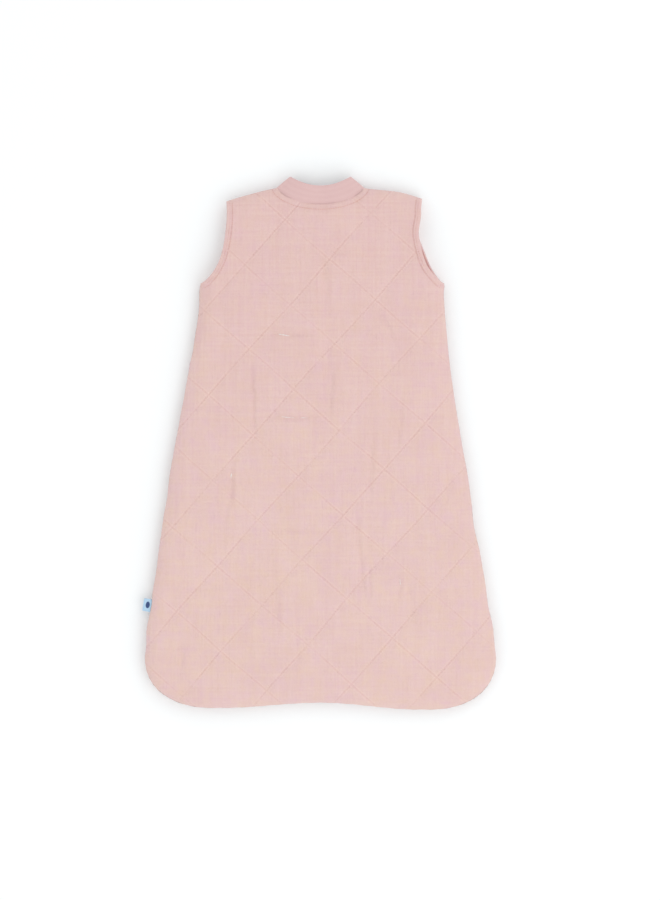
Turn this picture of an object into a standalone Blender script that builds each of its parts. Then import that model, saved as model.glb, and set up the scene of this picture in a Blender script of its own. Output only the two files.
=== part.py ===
"""A sleeveless quilted baby sleeping bag, lying flat with its back up.

+Y runs to the collar, +X to the right of the back, +Z up. The origin is at the middle of the bag,
on the surface it lies on. Front and back are quilted layers of muslin and wadding, joined at the
shoulders, sides and hem, and open at the neck and the armholes. The front opens with a zip: as the
slider runs down, the two lapels fold outward along the lines from the neck to the foot of the zip.
"""

import math

import bpy
import numpy as np
from mathutils import Matrix

# Outline, in metres
LENGTH = 0.700
HEM_WIDTH = 0.461
CHEST_WIDTH = 0.322
SHOULDER_WIDTH = 0.253
NECK_WIDTH = 0.122
COLLAR_INSET = 0.003
CORNER_RUN = 0.060
CORNER_RISE = 0.090
HEM_RISE = 0.009
HEM_LOW_X = 0.130
CORNER_PULL_OUT = (0.100, 0.0)
CORNER_PULL_IN = (-0.004, 0.130)
UNDERARM_DROP = 0.141
SHOULDER_DROP = 0.033
SHOULDER_RISE_OUT = 0.022
SHOULDER_RISE_IN = 0.013
NECK_DROP = 0.015
BACK_SCOOP = 0.0203
FRONT_SCOOP = 0.050
COLLAR_HEIGHT = 0.023
COLLAR_PEAK_X = 0.039
COLLAR_END_RISE = 0.018
COLLAR_PEAK_RUN = 0.022
BINDING_WIDTH = 0.007
SIDE_TOP_DROP = 0.001
SHOULDER_END = 0.002

# Thickness of each layer and of the space between front and back
CLOTH = 0.0012
WADDING = 0.0040
SPACE = 0.0120
GAP = 0.0003
SEAM_WIDTH = 0.007
SEAM_INSET = 0.0015
SIDE_SEAM_DROP = 0.012
COLLAR_THICK = 0.0035
COLLAR_FOLD = 0.0035

# Zip
ZIP_FOOT_RISE = 0.060
CLOTH_EDGE = 0.007
LINING_EDGE = 0.009
TAPE_EDGE = 0.0155
TAPE_THICK = 0.0006
COIL_RADIUS = 0.0011
COIL_OFF_CENTRE = 0.0015
TAPE_START = 0.0030
ZIP_PLANE = 0.0045
SLIDER_LENGTH = 0.012
SLIDER_WIDTH = 0.0080
SLIDER_PLATE = 0.0008
SLIDER_POST = 0.0008
PLATE_CLEAR = 0.0003
ARCH_LENGTH = 0.0056
ARCH_BAR = 0.0007
ARCH_REACH = 0.0023
TAB_LENGTH = 0.028
TAB_WIDTH = 0.0052
TAB_THICK = 0.0010
EYE_LENGTH = 0.0052
EYE_WIDTH = 0.0028
STOP_LENGTH = 0.0030
TOP_STOP = (0.0024, 0.0022)
TOP_STOP_OFF_CENTRE = 0.0013
BOTTOM_STOP = (0.0056, 0.0024)
ZIP_TOP_DROP = 0.001
TAB_CORNER = 0.0003

# Fold lines of the two lapels, on the outer face of the front
FOLD_CLEAR = 0.0015
FOLD_TOP_RISE = 0.001
FOLD_FOOT_X = 0.010
LAPEL_LEAST = 0.008
LAPEL_GAP = 0.0006

# Labels
SIDE_LABEL = (0.0070, 0.016, 0.0009)
SIDE_LABEL_RISE = 0.136
SIDE_LABEL_TILT = math.radians(10)
NECK_LABEL = (0.034, 0.016, 0.0006)
CARE_LABEL = (0.030, 0.045, 0.0006)
CARE_LABEL_RISE = 0.150
CARE_LABEL_INSET = 0.050
NECK_LABEL_DROP = 0.014
LABEL_HANG = 0.0006

TOP = LENGTH / 2
FOOT = -LENGTH / 2
HEM_X = HEM_WIDTH / 2
CHEST_X = CHEST_WIDTH / 2
SHOULDER_X = SHOULDER_WIDTH / 2
NECK_X = NECK_WIDTH / 2
COLLAR_X = NECK_X - COLLAR_INSET
UNDERARM_Y = TOP - UNDERARM_DROP
SHOULDER_Y = TOP - SHOULDER_DROP
NECK_Y = TOP - NECK_DROP

FRONT_OUTER = (0.0, CLOTH)
FRONT_WADDING = (CLOTH + GAP, CLOTH + GAP + WADDING)
FRONT_LINING = (FRONT_WADDING[1] + GAP, FRONT_WADDING[1] + GAP + CLOTH)
FRONT_TOP = FRONT_LINING[1]
BACK_LINING = (FRONT_TOP + SPACE, FRONT_TOP + SPACE + CLOTH)
BACK_WADDING = (BACK_LINING[1] + GAP, BACK_LINING[1] + GAP + WADDING)
BACK_OUTER = (BACK_WADDING[1] + GAP, BACK_WADDING[1] + GAP + CLOTH)
BACK_TOP = BACK_OUTER[1]
WALL = (FRONT_TOP + GAP, BACK_LINING[0] - GAP)
WADDING_EDGE = TAPE_EDGE + GAP

FOLD_TOP_X = NECK_X + FOLD_CLEAR
FOLD_TOP_Y = NECK_Y + FOLD_TOP_RISE
FOLD_FOOT_Y = FOOT + ZIP_FOOT_RISE
LAPEL_FOOT_X = CLOTH_EDGE + LAPEL_LEAST

BAG = bpy.data.collections.new("baby_sleeping_bag")
HELPERS = bpy.data.collections.new("helpers")


def clear_scene():
    for thing in list(bpy.data.objects):
        bpy.data.objects.remove(thing, do_unlink=True)
    bpy.context.scene.collection.children.link(BAG)
    bpy.context.scene.collection.children.link(HELPERS)


def material(name, colour, roughness, metallic=0.0):
    made = bpy.data.materials.new(name)
    made.use_nodes = True
    shader = made.node_tree.nodes["Principled BSDF"]
    shader.inputs["Base Color"].default_value = (*colour, 1.0)
    shader.inputs["Roughness"].default_value = roughness
    shader.inputs["Metallic"].default_value = metallic
    return made


def sweep(start, pull_out, end, pull_in, steps):
    """Points of a cubic from start to end, with its leaving and arriving tangents; the end is left out."""
    t = np.linspace(0.0, 1.0, steps, endpoint=False)[:, None]
    start, pull_out, end, pull_in = (np.array(v, float) for v in (start, pull_out, end, pull_in))
    points = (2 * t**3 - 3 * t**2 + 1) * start + (t**3 - 2 * t**2 + t) * pull_out
    points += (3 * t**2 - 2 * t**3) * end + (t**3 - t**2) * pull_in
    return [tuple(p) for p in points]


def offset(points, distance):
    """An open line moved to its left by distance."""
    line = np.array(points, float)
    along = np.gradient(line, axis=0)
    along /= np.linalg.norm(along, axis=1)[:, None]
    left = np.stack([-along[:, 1], along[:, 0]], axis=1)
    return [tuple(p) for p in line + left * distance]


def mirrored(points):
    """The same outline on the other side, still running the same way round."""
    return [(-x, y) for x, y in reversed(points)]


def hem_y(x):
    if abs(x) >= HEM_LOW_X:
        return FOOT
    return FOOT + HEM_RISE * math.cos(math.pi * x / (2 * HEM_LOW_X)) ** 2


def hem_and_corner(first_x):
    """From the hem at first_x round the right corner to the start of the side."""
    run = [(x, hem_y(x)) for x in np.linspace(first_x, HEM_X - CORNER_RUN, 9)[:-1]]
    start, end = (HEM_X - CORNER_RUN, FOOT), (HEM_X, FOOT + CORNER_RISE)
    return run + sweep(start, CORNER_PULL_OUT, end, CORNER_PULL_IN, 8)


def side(top_y=UNDERARM_Y):
    """The side seam, from the corner up to just below the underarm."""
    rise = UNDERARM_Y - (FOOT + CORNER_RISE)
    start, end = (HEM_X, FOOT + CORNER_RISE), (CHEST_X, UNDERARM_Y)
    line = sweep(start, (-0.16 * rise, rise), end, (-0.075 * rise, rise), 16)
    return [p for p in line if p[1] < top_y]


def armhole():
    """The armhole edge, from the underarm up to the shoulder."""
    reach = SHOULDER_Y - UNDERARM_Y
    start, end = (CHEST_X, UNDERARM_Y), (SHOULDER_X, SHOULDER_Y)
    return sweep(start, (-0.70 * reach, 0.32 * reach), end, (0.05 * reach, 1.1 * reach), 12) + [end]


def shoulder(end_x=NECK_X):
    """The shoulder line, from its outer end to end_x at the neck."""
    run = SHOULDER_X - end_x
    start = armhole()[-1]
    line = sweep(start, (-0.90 * run, SHOULDER_RISE_OUT), (end_x, NECK_Y), (-run, SHOULDER_RISE_IN), 6)
    return line + [(end_x, NECK_Y)]


def panel_edge(first_x, shoulder_end):
    """The right edge of a panel, from the hem to the neck, cut back at the armhole for its binding."""
    cut = offset(armhole(), BINDING_WIDTH + GAP)
    top = [p for p in shoulder(shoulder_end) if p[0] < cut[-1][0] - SHOULDER_END]
    return hem_and_corner(first_x) + side(cut[0][1] - SIDE_TOP_DROP) + cut + top


def back_neck_y(x):
    return NECK_Y - BACK_SCOOP * (1 - (x / NECK_X) ** 2)


def front_neck_y(x):
    return NECK_Y - FRONT_SCOOP * math.sqrt(max(0.0, 1 - (x / NECK_X) ** 2))


def front_neck(first_x, last_x):
    """The front neckline from first_x out to last_x, at even steps round its half ellipse."""
    turns = np.linspace(math.asin(first_x / NECK_X), math.asin(last_x / NECK_X), 16)
    return [(NECK_X * math.sin(t), NECK_Y - FRONT_SCOOP * math.cos(t)) for t in turns]


def fold_x(y):
    share = (y - FOLD_FOOT_Y) / (FOLD_TOP_Y - FOLD_FOOT_Y)
    return FOLD_FOOT_X + (FOLD_TOP_X - FOLD_FOOT_X) * share


def fold_y(x):
    share = (x - FOLD_FOOT_X) / (FOLD_TOP_X - FOLD_FOOT_X)
    return FOLD_FOOT_Y + (FOLD_TOP_Y - FOLD_FOOT_Y) * share


def back_outline():
    right = panel_edge(0.0, NECK_X)
    neck = [(x, back_neck_y(x)) for x in np.linspace(NECK_X, 0.0, 9)[1:]]
    half = right + neck
    return half + mirrored(half[1:-1])


def front_outline(edge):
    """The right front as far as the fold line; below the lapel it runs in to edge beside the zip."""
    right = panel_edge(GAP / 2, fold_x(NECK_Y) + GAP / 2)
    turn_x = max(LAPEL_FOOT_X, edge - GAP / 2)
    turn_y = fold_y(turn_x)
    inner = [(turn_x + GAP / 2, turn_y)]
    if edge < turn_x:
        inner.append((edge, turn_y))
    return right + inner + [(edge, FOLD_FOOT_Y), (GAP / 2, FOLD_FOOT_Y)]


def lapel_outline(edge, least):
    """The right lapel, between the edge beside the zip and the fold line."""
    low_x = max(edge + least, LAPEL_FOOT_X)
    low_y = fold_y(low_x) + LAPEL_GAP
    fold = [(low_x - GAP / 2, low_y), (fold_x(NECK_Y) - GAP / 2, NECK_Y)]
    neck = front_neck(edge, NECK_X - GAP)
    return [(edge, low_y)] + fold + neck[::-1]


def collar_back_outline():
    """The back half of the stand-up collar: it peaks near its ends and dips at the middle."""
    seam = [(x, back_neck_y(x) + GAP) for x in np.linspace(-COLLAR_X, COLLAR_X, 15)]
    middle_y = NECK_Y - BACK_SCOOP + COLLAR_HEIGHT
    rise = TOP - middle_y
    ridge = []
    for x in np.linspace(COLLAR_PEAK_X, 0.0, 8):
        ridge.append((x, middle_y + rise * math.sin(math.pi * x / (2 * COLLAR_PEAK_X)) ** 2))
    start, peak = (COLLAR_X, seam[-1][1]), (COLLAR_PEAK_X, TOP)
    end = sweep(start, (0.0, COLLAR_END_RISE), peak, (-COLLAR_PEAK_RUN, 0.0), 6)[1:]
    half = end + ridge
    return seam + half + [(-x, y) for x, y in reversed(half[:-1])]


def collar_front_outline():
    """The right front half of the collar, from the zip to its fold at the shoulder."""
    seam = offset(front_neck(CLOTH_EDGE, COLLAR_X), 2 * GAP)
    top = []
    for x, y in reversed(seam):
        top.append((x, y + COLLAR_HEIGHT * (1 - 0.35 * (x / COLLAR_X) ** 4)))
    return seam + top


def place(made, parent):
    BAG.objects.link(made)
    if parent is not None:
        made.parent = parent
        made.matrix_parent_inverse = Matrix.Translation(parent.location).inverted()


def plate(name, outline, heights, finish, parent=None):
    """A flat piece: an outline filled and given the thickness between two heights."""
    low, high = heights
    flat = bpy.data.curves.new(name, "CURVE")
    flat.dimensions = "2D"
    flat.fill_mode = "BOTH"
    flat.extrude = (high - low) / 2
    line = flat.splines.new("POLY")
    line.points.add(len(outline) - 1)
    for point, (x, y) in zip(line.points, outline):
        point.co = (x, y, 0.0, 1.0)
    line.use_cyclic_u = True
    flat.materials.append(finish)
    made = bpy.data.objects.new(name, flat)
    made.location = (0.0, 0.0, (low + high) / 2)
    place(made, parent)
    return made


def pair(name, outline, heights, finish, parents=(None, None)):
    """The same plate on the left and on the right."""
    plate(name + "_left", mirrored(outline), heights, finish, parents[0])
    plate(name + "_right", outline, heights, finish, parents[1])


def strip(line, width):
    """A closed outline of this width, to the left of an open line."""
    return list(line) + list(reversed(offset(line, width)))


def box(name, centre, size, finish, parent=None, turn=0.0):
    bpy.ops.mesh.primitive_cube_add(size=1.0, location=centre, rotation=(0.0, 0.0, turn))
    made = bpy.context.active_object
    made.name = name
    made.scale = size
    bpy.ops.object.transform_apply(location=False, rotation=False, scale=True)
    made.data.name = name
    made.data.materials.append(finish)
    for home in list(made.users_collection):
        home.objects.unlink(made)
    place(made, parent)
    return made


def rod(name, ends, radius, finish, parent=None):
    """A straight round rod between two points."""
    wire = bpy.data.curves.new(name, "CURVE")
    wire.dimensions = "3D"
    wire.bevel_depth = radius
    wire.bevel_resolution = 2
    wire.use_fill_caps = True
    line = wire.splines.new("POLY")
    line.points.add(len(ends) - 1)
    for point, spot in zip(line.points, ends):
        point.co = (*spot, 1.0)
    wire.materials.append(finish)
    made = bpy.data.objects.new(name, wire)
    place(made, parent)
    return made


def joined(base, *others):
    """Unites boxes into one solid; the ones that are added stay as hidden helpers."""
    for other in others:
        BAG.objects.unlink(other)
        HELPERS.objects.link(other)
        other.hide_render = True
        other.display_type = "WIRE"
        union = base.modifiers.new("join_" + other.name, "BOOLEAN")
        union.operation = "UNION"
        union.solver = "EXACT"
        union.object = other


def pivot(name, spot):
    made = bpy.data.objects.new(name, None)
    made.location = spot
    made.empty_display_size = 0.01
    BAG.objects.link(made)
    return made


def make_back(finishes):
    outline = back_outline()
    plate("back_outer", outline, BACK_OUTER, finishes["muslin"])
    plate("back_wadding", outline, BACK_WADDING, finishes["wadding"])
    plate("back_lining", outline, BACK_LINING, finishes["lining"])


def make_front(finishes, lapels):
    layers = (
        ("outer", FRONT_OUTER, CLOTH_EDGE, LAPEL_LEAST, finishes["muslin"]),
        ("wadding", FRONT_WADDING, WADDING_EDGE, LAPEL_LEAST / 2, finishes["wadding"]),
        ("lining", FRONT_LINING, LINING_EDGE, LAPEL_LEAST / 2, finishes["lining"]),
    )
    for layer, heights, edge, least, finish in layers:
        pair("front_" + layer, front_outline(edge), heights, finish)
        pair("lapel_" + layer, lapel_outline(edge, least), heights, finish, lapels)


def make_seams(finishes):
    """The walls where front and back are sewn together: sides, hem and shoulders."""
    thread = finishes["lining"]
    corner = hem_and_corner(0.0)
    side_line = [p for p in corner if p[1] > FOOT + CORNER_RISE / 2] + side(UNDERARM_Y - SIDE_SEAM_DROP)
    hem_half = [p for p in corner if p[1] <= FOOT + CORNER_RISE / 2][:-1]
    hem_line = mirrored(hem_half[1:]) + hem_half
    pair("side_seam", strip(offset(side_line, SEAM_INSET), SEAM_WIDTH), WALL, thread)
    plate("hem_seam", strip(offset(hem_line, SEAM_INSET), SEAM_WIDTH), WALL, thread)
    shoulder_line = [p for p in shoulder(NECK_X + SHOULDER_END) if p[0] < SHOULDER_X - BINDING_WIDTH]
    pair("shoulder_seam", strip(offset(shoulder_line, SEAM_INSET), SEAM_WIDTH), WALL, thread)


def make_bindings(finishes):
    line = armhole()
    outline = strip(line, BINDING_WIDTH)
    pair("armhole_binding_back", outline, (BACK_LINING[0], BACK_TOP), finishes["muslin"])
    pair("armhole_binding_front", outline, (FRONT_OUTER[0], FRONT_TOP), finishes["muslin"])


def make_collar(finishes, lapels):
    back_mid = (BACK_LINING[0] + BACK_TOP) / 2
    front_high = ZIP_PLANE - TAPE_THICK / 2 - GAP
    back_heights = (back_mid - COLLAR_THICK / 2, back_mid + COLLAR_THICK / 2)
    front_heights = (front_high - COLLAR_THICK, front_high)
    plate("collar_back", collar_back_outline(), back_heights, finishes["rib"])
    pair("collar_front", collar_front_outline(), front_heights, finishes["rib"], lapels)
    low = front_heights[1] + GAP
    high = back_heights[0] - GAP
    for sign, word in ((-1, "left"), (1, "right")):
        x = COLLAR_X - COLLAR_FOLD
        y = back_neck_y(COLLAR_X) + GAP + COLLAR_FOLD
        size = (COLLAR_FOLD, 2 * COLLAR_FOLD - GAP, high - low)
        box("collar_side_" + word, (sign * x, y, (low + high) / 2), size, finishes["rib"])


def make_zip(finishes, lapels, zip_top):
    foot = FOLD_FOOT_Y + STOP_LENGTH + 3 * GAP
    slider_y = zip_top - STOP_LENGTH - GAP - SLIDER_LENGTH / 2
    coil_top = slider_y - SLIDER_POST
    plane = (ZIP_PLANE - TAPE_THICK / 2, ZIP_PLANE + TAPE_THICK / 2)
    tape = [(TAPE_START, foot), (TAPE_EDGE, foot), (TAPE_EDGE, zip_top), (TAPE_START, zip_top)]
    pair("zip_tape", tape, plane, finishes["tape"], lapels)
    for sign, word, parent in ((-1, "left", lapels[0]), (1, "right", lapels[1])):
        x = sign * COIL_OFF_CENTRE
        ends = [(x, foot, ZIP_PLANE), (x, coil_top, ZIP_PLANE)]
        rod("zip_coil_" + word, ends, COIL_RADIUS, finishes["coil"], parent)
        centre = (sign * (GAP + TOP_STOP_OFF_CENTRE), zip_top - STOP_LENGTH / 2, ZIP_PLANE)
        size = (TOP_STOP[0], STOP_LENGTH, TOP_STOP[1])
        box("top_stop_" + word, centre, size, finishes["metal"], parent)
    centre = (0.0, foot - STOP_LENGTH / 2 - GAP, ZIP_PLANE)
    size = (BOTTOM_STOP[0], STOP_LENGTH - GAP, BOTTOM_STOP[1])
    box("bottom_stop", centre, size, finishes["metal"])
    make_slider(finishes, slider_y)


def make_slider(finishes, slider_y):
    """Two plates held apart by a post, with an arch on the outer plate that the pull hangs from."""
    metal = finishes["metal"]
    body = pivot("slider_place", (0.0, slider_y, ZIP_PLANE))
    reach = COIL_RADIUS + PLATE_CLEAR
    outer_z = ZIP_PLANE - reach - SLIDER_PLATE / 2
    inner_z = ZIP_PLANE + reach + SLIDER_PLATE / 2
    size = (SLIDER_WIDTH, SLIDER_LENGTH, SLIDER_PLATE)
    outer = box("zip_slider", (0.0, slider_y, outer_z), size, metal, body)
    inner = box("slider_inner_plate", (0.0, slider_y, inner_z), size, metal, body)
    post_size = (1.5 * SLIDER_POST, 3 * SLIDER_POST, inner_z - outer_z)
    post = box("slider_post", (0.0, slider_y + 2.5 * SLIDER_POST, ZIP_PLANE), post_size, metal, body)
    arch_low = outer_z - SLIDER_PLATE / 2 - ARCH_REACH
    arch_size = (ARCH_BAR, ARCH_LENGTH, ARCH_BAR)
    arch = box("slider_arch", (0.0, slider_y, arch_low + ARCH_BAR / 2), arch_size, metal, body)
    legs = []
    for sign in (-1, 1):
        leg_y = slider_y + sign * (ARCH_LENGTH - ARCH_BAR) / 2
        leg_size = (ARCH_BAR * 0.98, ARCH_BAR, ARCH_REACH)
        leg_z = arch_low + ARCH_REACH / 2 + ARCH_BAR / 4
        legs.append(box("slider_leg", (0.0, leg_y, leg_z), leg_size, metal, body))
    joined(outer, inner, post, arch, *legs)
    make_pull(finishes, slider_y, arch_low)


def make_pull(finishes, slider_y, arch_low):
    """A flat pull with an eye at its end; the end bar of the eye turns inside the arch."""
    axis_z = arch_low + ARCH_BAR + GAP + TAB_THICK / 2
    body = pivot("pull_place", (0.0, slider_y, axis_z))
    top = slider_y + TAB_THICK / 2
    size = (TAB_WIDTH, TAB_LENGTH, TAB_THICK)
    tab = box("pull_tab", (0.0, top - TAB_LENGTH / 2, axis_z), size, finishes["metal"], body)
    rim = tab.modifiers.new("round_corners", "BEVEL")
    rim.width = TAB_CORNER
    rim.segments = 1
    eye_centre = (0.0, top - TAB_THICK - EYE_LENGTH / 2, axis_z)
    eye = box("pull_eye", eye_centre, (EYE_WIDTH, EYE_LENGTH, 3 * TAB_THICK), finishes["metal"])
    BAG.objects.unlink(eye)
    HELPERS.objects.link(eye)
    eye.hide_render = True
    eye.display_type = "WIRE"
    cut = tab.modifiers.new("eye", "BOOLEAN")
    cut.operation = "DIFFERENCE"
    cut.solver = "EXACT"
    cut.object = eye


def side_x(height):
    """How far out the side edge is at this height."""
    line = np.array(side())
    return float(np.interp(height, line[:, 1], line[:, 0]))


def make_labels(finishes):
    """A folded label caught in the left side seam, and two sewn to the lining of the back."""
    side_y = FOOT + SIDE_LABEL_RISE
    near_x = side_x(side_y) - SEAM_INSET + 2 * GAP
    middle_z = (WALL[0] + WALL[1]) / 2
    centre = (-near_x - SIDE_LABEL[0] / 2, side_y, middle_z)
    box("side_label", centre, SIDE_LABEL, finishes["label"], None, -SIDE_LABEL_TILT)
    label_z = BACK_LINING[0] - LABEL_HANG
    neck_y = NECK_Y - BACK_SCOOP - NECK_LABEL_DROP
    box("size_label", (0.0, neck_y, label_z), NECK_LABEL, finishes["label"])
    centre = (CARE_LABEL_INSET - HEM_X, FOOT + CARE_LABEL_RISE, label_z)
    box("care_label", centre, CARE_LABEL, finishes["label"])


def main():
    clear_scene()
    finishes = {
        "muslin": material("muslin_outer", (0.79, 0.57, 0.53), 0.9),
        "lining": material("muslin_lining", (0.80, 0.60, 0.56), 0.9),
        "wadding": material("wadding", (0.90, 0.90, 0.88), 0.95),
        "rib": material("rib_knit", (0.75, 0.51, 0.50), 0.9),
        "tape": material("zip_tape", (0.76, 0.54, 0.51), 0.85),
        "coil": material("zip_coil", (0.78, 0.56, 0.53), 0.45),
        "metal": material("slider_metal", (0.70, 0.52, 0.49), 0.35, 0.6),
        "label": material("woven_label", (0.60, 0.74, 0.84), 0.7),
    }
    lapels = []
    for sign, word in ((-1, "left"), (1, "right")):
        lapels.append(pivot(word + "_fold", (sign * FOLD_TOP_X, FOLD_TOP_Y, 0.0)))
    zip_top = front_neck_y(CLOTH_EDGE) + COLLAR_HEIGHT - ZIP_TOP_DROP
    make_back(finishes)
    make_front(finishes, lapels)
    make_seams(finishes)
    make_bindings(finishes)
    make_collar(finishes, lapels)
    make_zip(finishes, lapels, zip_top)
    make_labels(finishes)


main()
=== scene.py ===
"""The baby sleeping bag's cloth, stitching, collar, zip and labels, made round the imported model.

The bag lies on its front: +Y runs to the collar, +X to the right of the back, +Z up. Every quilted
panel is three layers (muslin, wadding, muslin) whose heights are functions of the place in plan.
"""

import math

import bpy
import mathutils
import numpy as np
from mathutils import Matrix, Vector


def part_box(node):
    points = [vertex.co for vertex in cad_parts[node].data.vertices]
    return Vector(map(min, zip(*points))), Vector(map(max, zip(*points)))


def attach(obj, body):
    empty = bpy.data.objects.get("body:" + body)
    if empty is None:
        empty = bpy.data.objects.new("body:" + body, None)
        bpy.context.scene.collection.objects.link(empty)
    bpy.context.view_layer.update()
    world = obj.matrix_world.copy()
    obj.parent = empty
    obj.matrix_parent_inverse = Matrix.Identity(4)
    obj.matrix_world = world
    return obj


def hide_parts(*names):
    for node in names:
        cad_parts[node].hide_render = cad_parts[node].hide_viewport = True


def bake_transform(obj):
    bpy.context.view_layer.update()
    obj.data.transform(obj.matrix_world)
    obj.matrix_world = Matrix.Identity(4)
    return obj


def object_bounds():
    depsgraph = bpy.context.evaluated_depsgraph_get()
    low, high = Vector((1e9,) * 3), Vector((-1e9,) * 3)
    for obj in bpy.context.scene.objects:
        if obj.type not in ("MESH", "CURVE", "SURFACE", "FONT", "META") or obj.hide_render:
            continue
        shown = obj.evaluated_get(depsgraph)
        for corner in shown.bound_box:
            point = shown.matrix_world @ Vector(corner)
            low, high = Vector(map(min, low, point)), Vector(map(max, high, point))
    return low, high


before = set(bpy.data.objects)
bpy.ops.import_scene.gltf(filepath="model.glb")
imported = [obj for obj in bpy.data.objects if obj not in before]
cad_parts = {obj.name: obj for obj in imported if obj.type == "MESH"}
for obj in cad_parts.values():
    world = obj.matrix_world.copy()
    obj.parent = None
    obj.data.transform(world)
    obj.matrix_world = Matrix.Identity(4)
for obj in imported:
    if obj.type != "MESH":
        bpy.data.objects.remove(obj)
CAD_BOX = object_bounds()

MM = 0.001

# The outline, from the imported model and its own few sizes
LOW, HIGH = (np.array(corner, float) for corner in CAD_BOX)
FOOT, TOP = LOW[1], HIGH[1]
HEM_X = HIGH[0]
CHEST_X, SHOULDER_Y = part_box("armhole_binding_back_right")[1][:2]
NECK_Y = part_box("back_outer")[1][1]
UNDERARM_Y = TOP - 141 * MM
SHOULDER_X = 126.5 * MM
NECK_X = 56.5 * MM
BACK_SCOOP = 22 * MM
NECK_ROUND = 0.62
FRONT_SCOOP = 50 * MM
CORNER_RUN = 85 * MM
CORNER_RISE = 70 * MM
HEM_LOW_X = 130 * MM
HEM_RISE = 9 * MM
HEM_LIFT = 2.2 * MM
CORNER_PULLS = ((129 * MM, 0.0), (-3.5 * MM, 147 * MM))
SIDE_LEANS = (-0.13, -0.075)
SIDE_POINTS = 240
ARM_PULLS = ((-0.70, 0.32), (0.05, 1.1))
SHOULDER_PULLS = ((-0.9, 22 * MM), (-1.0, 13 * MM))
HEM_POINTS = 300
BACK_NECK_POINTS = 200
FRONT_NECK_POINTS = 120
MARK_STEP = 1.2 * MM

# How the bag happens to lie: the push of each side to the right, in mm, at these heights
LEFT_LIES = (
    (-270, 0), (-244, -2.6), (-212, -0.8), (-196, -2), (-170, -1.6), (-130, -2.8), (-91, -3.6),
    (-75, -3), (-40, -4.6), (-10, -4), (35, -2.6), (66, -1.2), (98, 0), (125, 2.4), (176, 4.4),
    (200, 3), (240, 5.2), (287, 4), (318, 3),
)
RIGHT_LIES = (
    (-270, 0), (-242, 1.2), (-212, -1), (-185, -0.2), (-150, -0.6), (-107, -3), (-75, -1),
    (-44, -0.2), (0, -1.2), (60, -2), (98, -2.2), (160, -1.2), (192, -0.6), (212, 2), (235, -1),
    (271, -0.4), (300, 5.5), (318, 7),
)
SHOULDER_LIFT = 3.5 * MM
SHOULDER_FROM = 270 * MM
LIES_FROM = 58 * MM
LIES_EASE = 45 * MM

# Layer heights: the seams lie on the middle plane between front and back
MIDDLE = HIGH[2] / 2
CLOTH = 0.8 * MM
LAYER_GAP = 0.1 * MM
SEAM_CLOTH = 0.9 * MM
SEAM_ROOM = 1.5 * MM
ROLL = 24 * MM
FREE_ROLL = 9 * MM
FREE_DROP = 3.2 * MM
BACK_LOFT = 12.3 * MM
FRONT_LOFT = MIDDLE - SEAM_CLOTH
HOLLOW = 4.4 * MM
HOLLOW_WIDE = 34 * MM
INSIDE_WIDE = 30 * MM
SURFACE_AT_SEAM = 0.25
SEAM_EASE = 5 * MM
CREASE_EASE = 12 * MM
EDGE_EASE = 8 * MM
LOFT_SWELL = 1.6 * MM
NECK_GROOVE = 0.9 * MM
NECK_GROOVE_WIDE = 1.8 * MM
NECK_GROOVE_FROM = 270 * MM
NECK_GROOVE_HALF = 72 * MM
LYING_MOST = 0.6 * MM
LYING_SHARE = 0.8
LINING_SOFT = 0.5 * MM
LINING_SOFT_EASE = 20 * MM
WADDING_THIN = 0.3 * MM
WADDING_ROOM = 0.35 * MM

# Smooth noises: the lattice's step along x and along y, and a seed
LATTICE = 64
WANDER_STEPS = (110 * MM, 90 * MM)
CREASE_RIPPLE = (25 * MM, 25 * MM, 5)
PUCKER_RIPPLE = (14 * MM, 14 * MM, 9)
PATCH_RIPPLE = (75 * MM, 85 * MM, 11)
LOFT_RIPPLE = (95 * MM, 120 * MM, 21)
LINING_RIPPLE = (30 * MM, 45 * MM, 25)
BINDING_RIPPLE = (5 * MM, MM, 31)
COLLAR_RIPPLE = (21 * MM, MM, 41)
CRINKLE_UP, CRINKLE_UP_RIPPLE = 0.50 * MM, (8 * MM, 52 * MM, 13)
CRINKLE_OVER, CRINKLE_OVER_RIPPLE = 0.34 * MM, (46 * MM, 7 * MM, 17)
CRINKLE_FINE, CRINKLE_FINE_RIPPLE = 0.16 * MM, (4.5 * MM, 13 * MM, 19)

# Quilting: two sets of lines nearly square to each other, turned a little on the bag
QUILT_AT = np.array([-40.0, 181.0]) * MM
QUILT_TURNS = (math.radians(48.4), math.radians(138.7))
QUILT_STEPS = (78.0 * MM, 80.0 * MM)
QUILT_SEEDS = (3, 4)
QUILT_WANDER = 2.0 * MM
PUFF = 1.6 * MM
PUFF_WIDE = 7.5 * MM
PUFF_SINK = 0.75
GROOVE = 0.16 * MM
GROOVE_WIDE = 2.6 * MM
GROOVE_FAINTER = 1.5 * MM
PUCKER = 0.09 * MM
PUCKER_STEP = 6.5 * MM
PUCKER_REACH = 4 * MM
PUCKER_WANDER = 3
PUCKER_SHARES = (1.0, 0.4)
PRESSED = 1.1 * MM
PRESSED_WIDE = 5 * MM
QUILT_FAINT = 1.0

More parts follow.
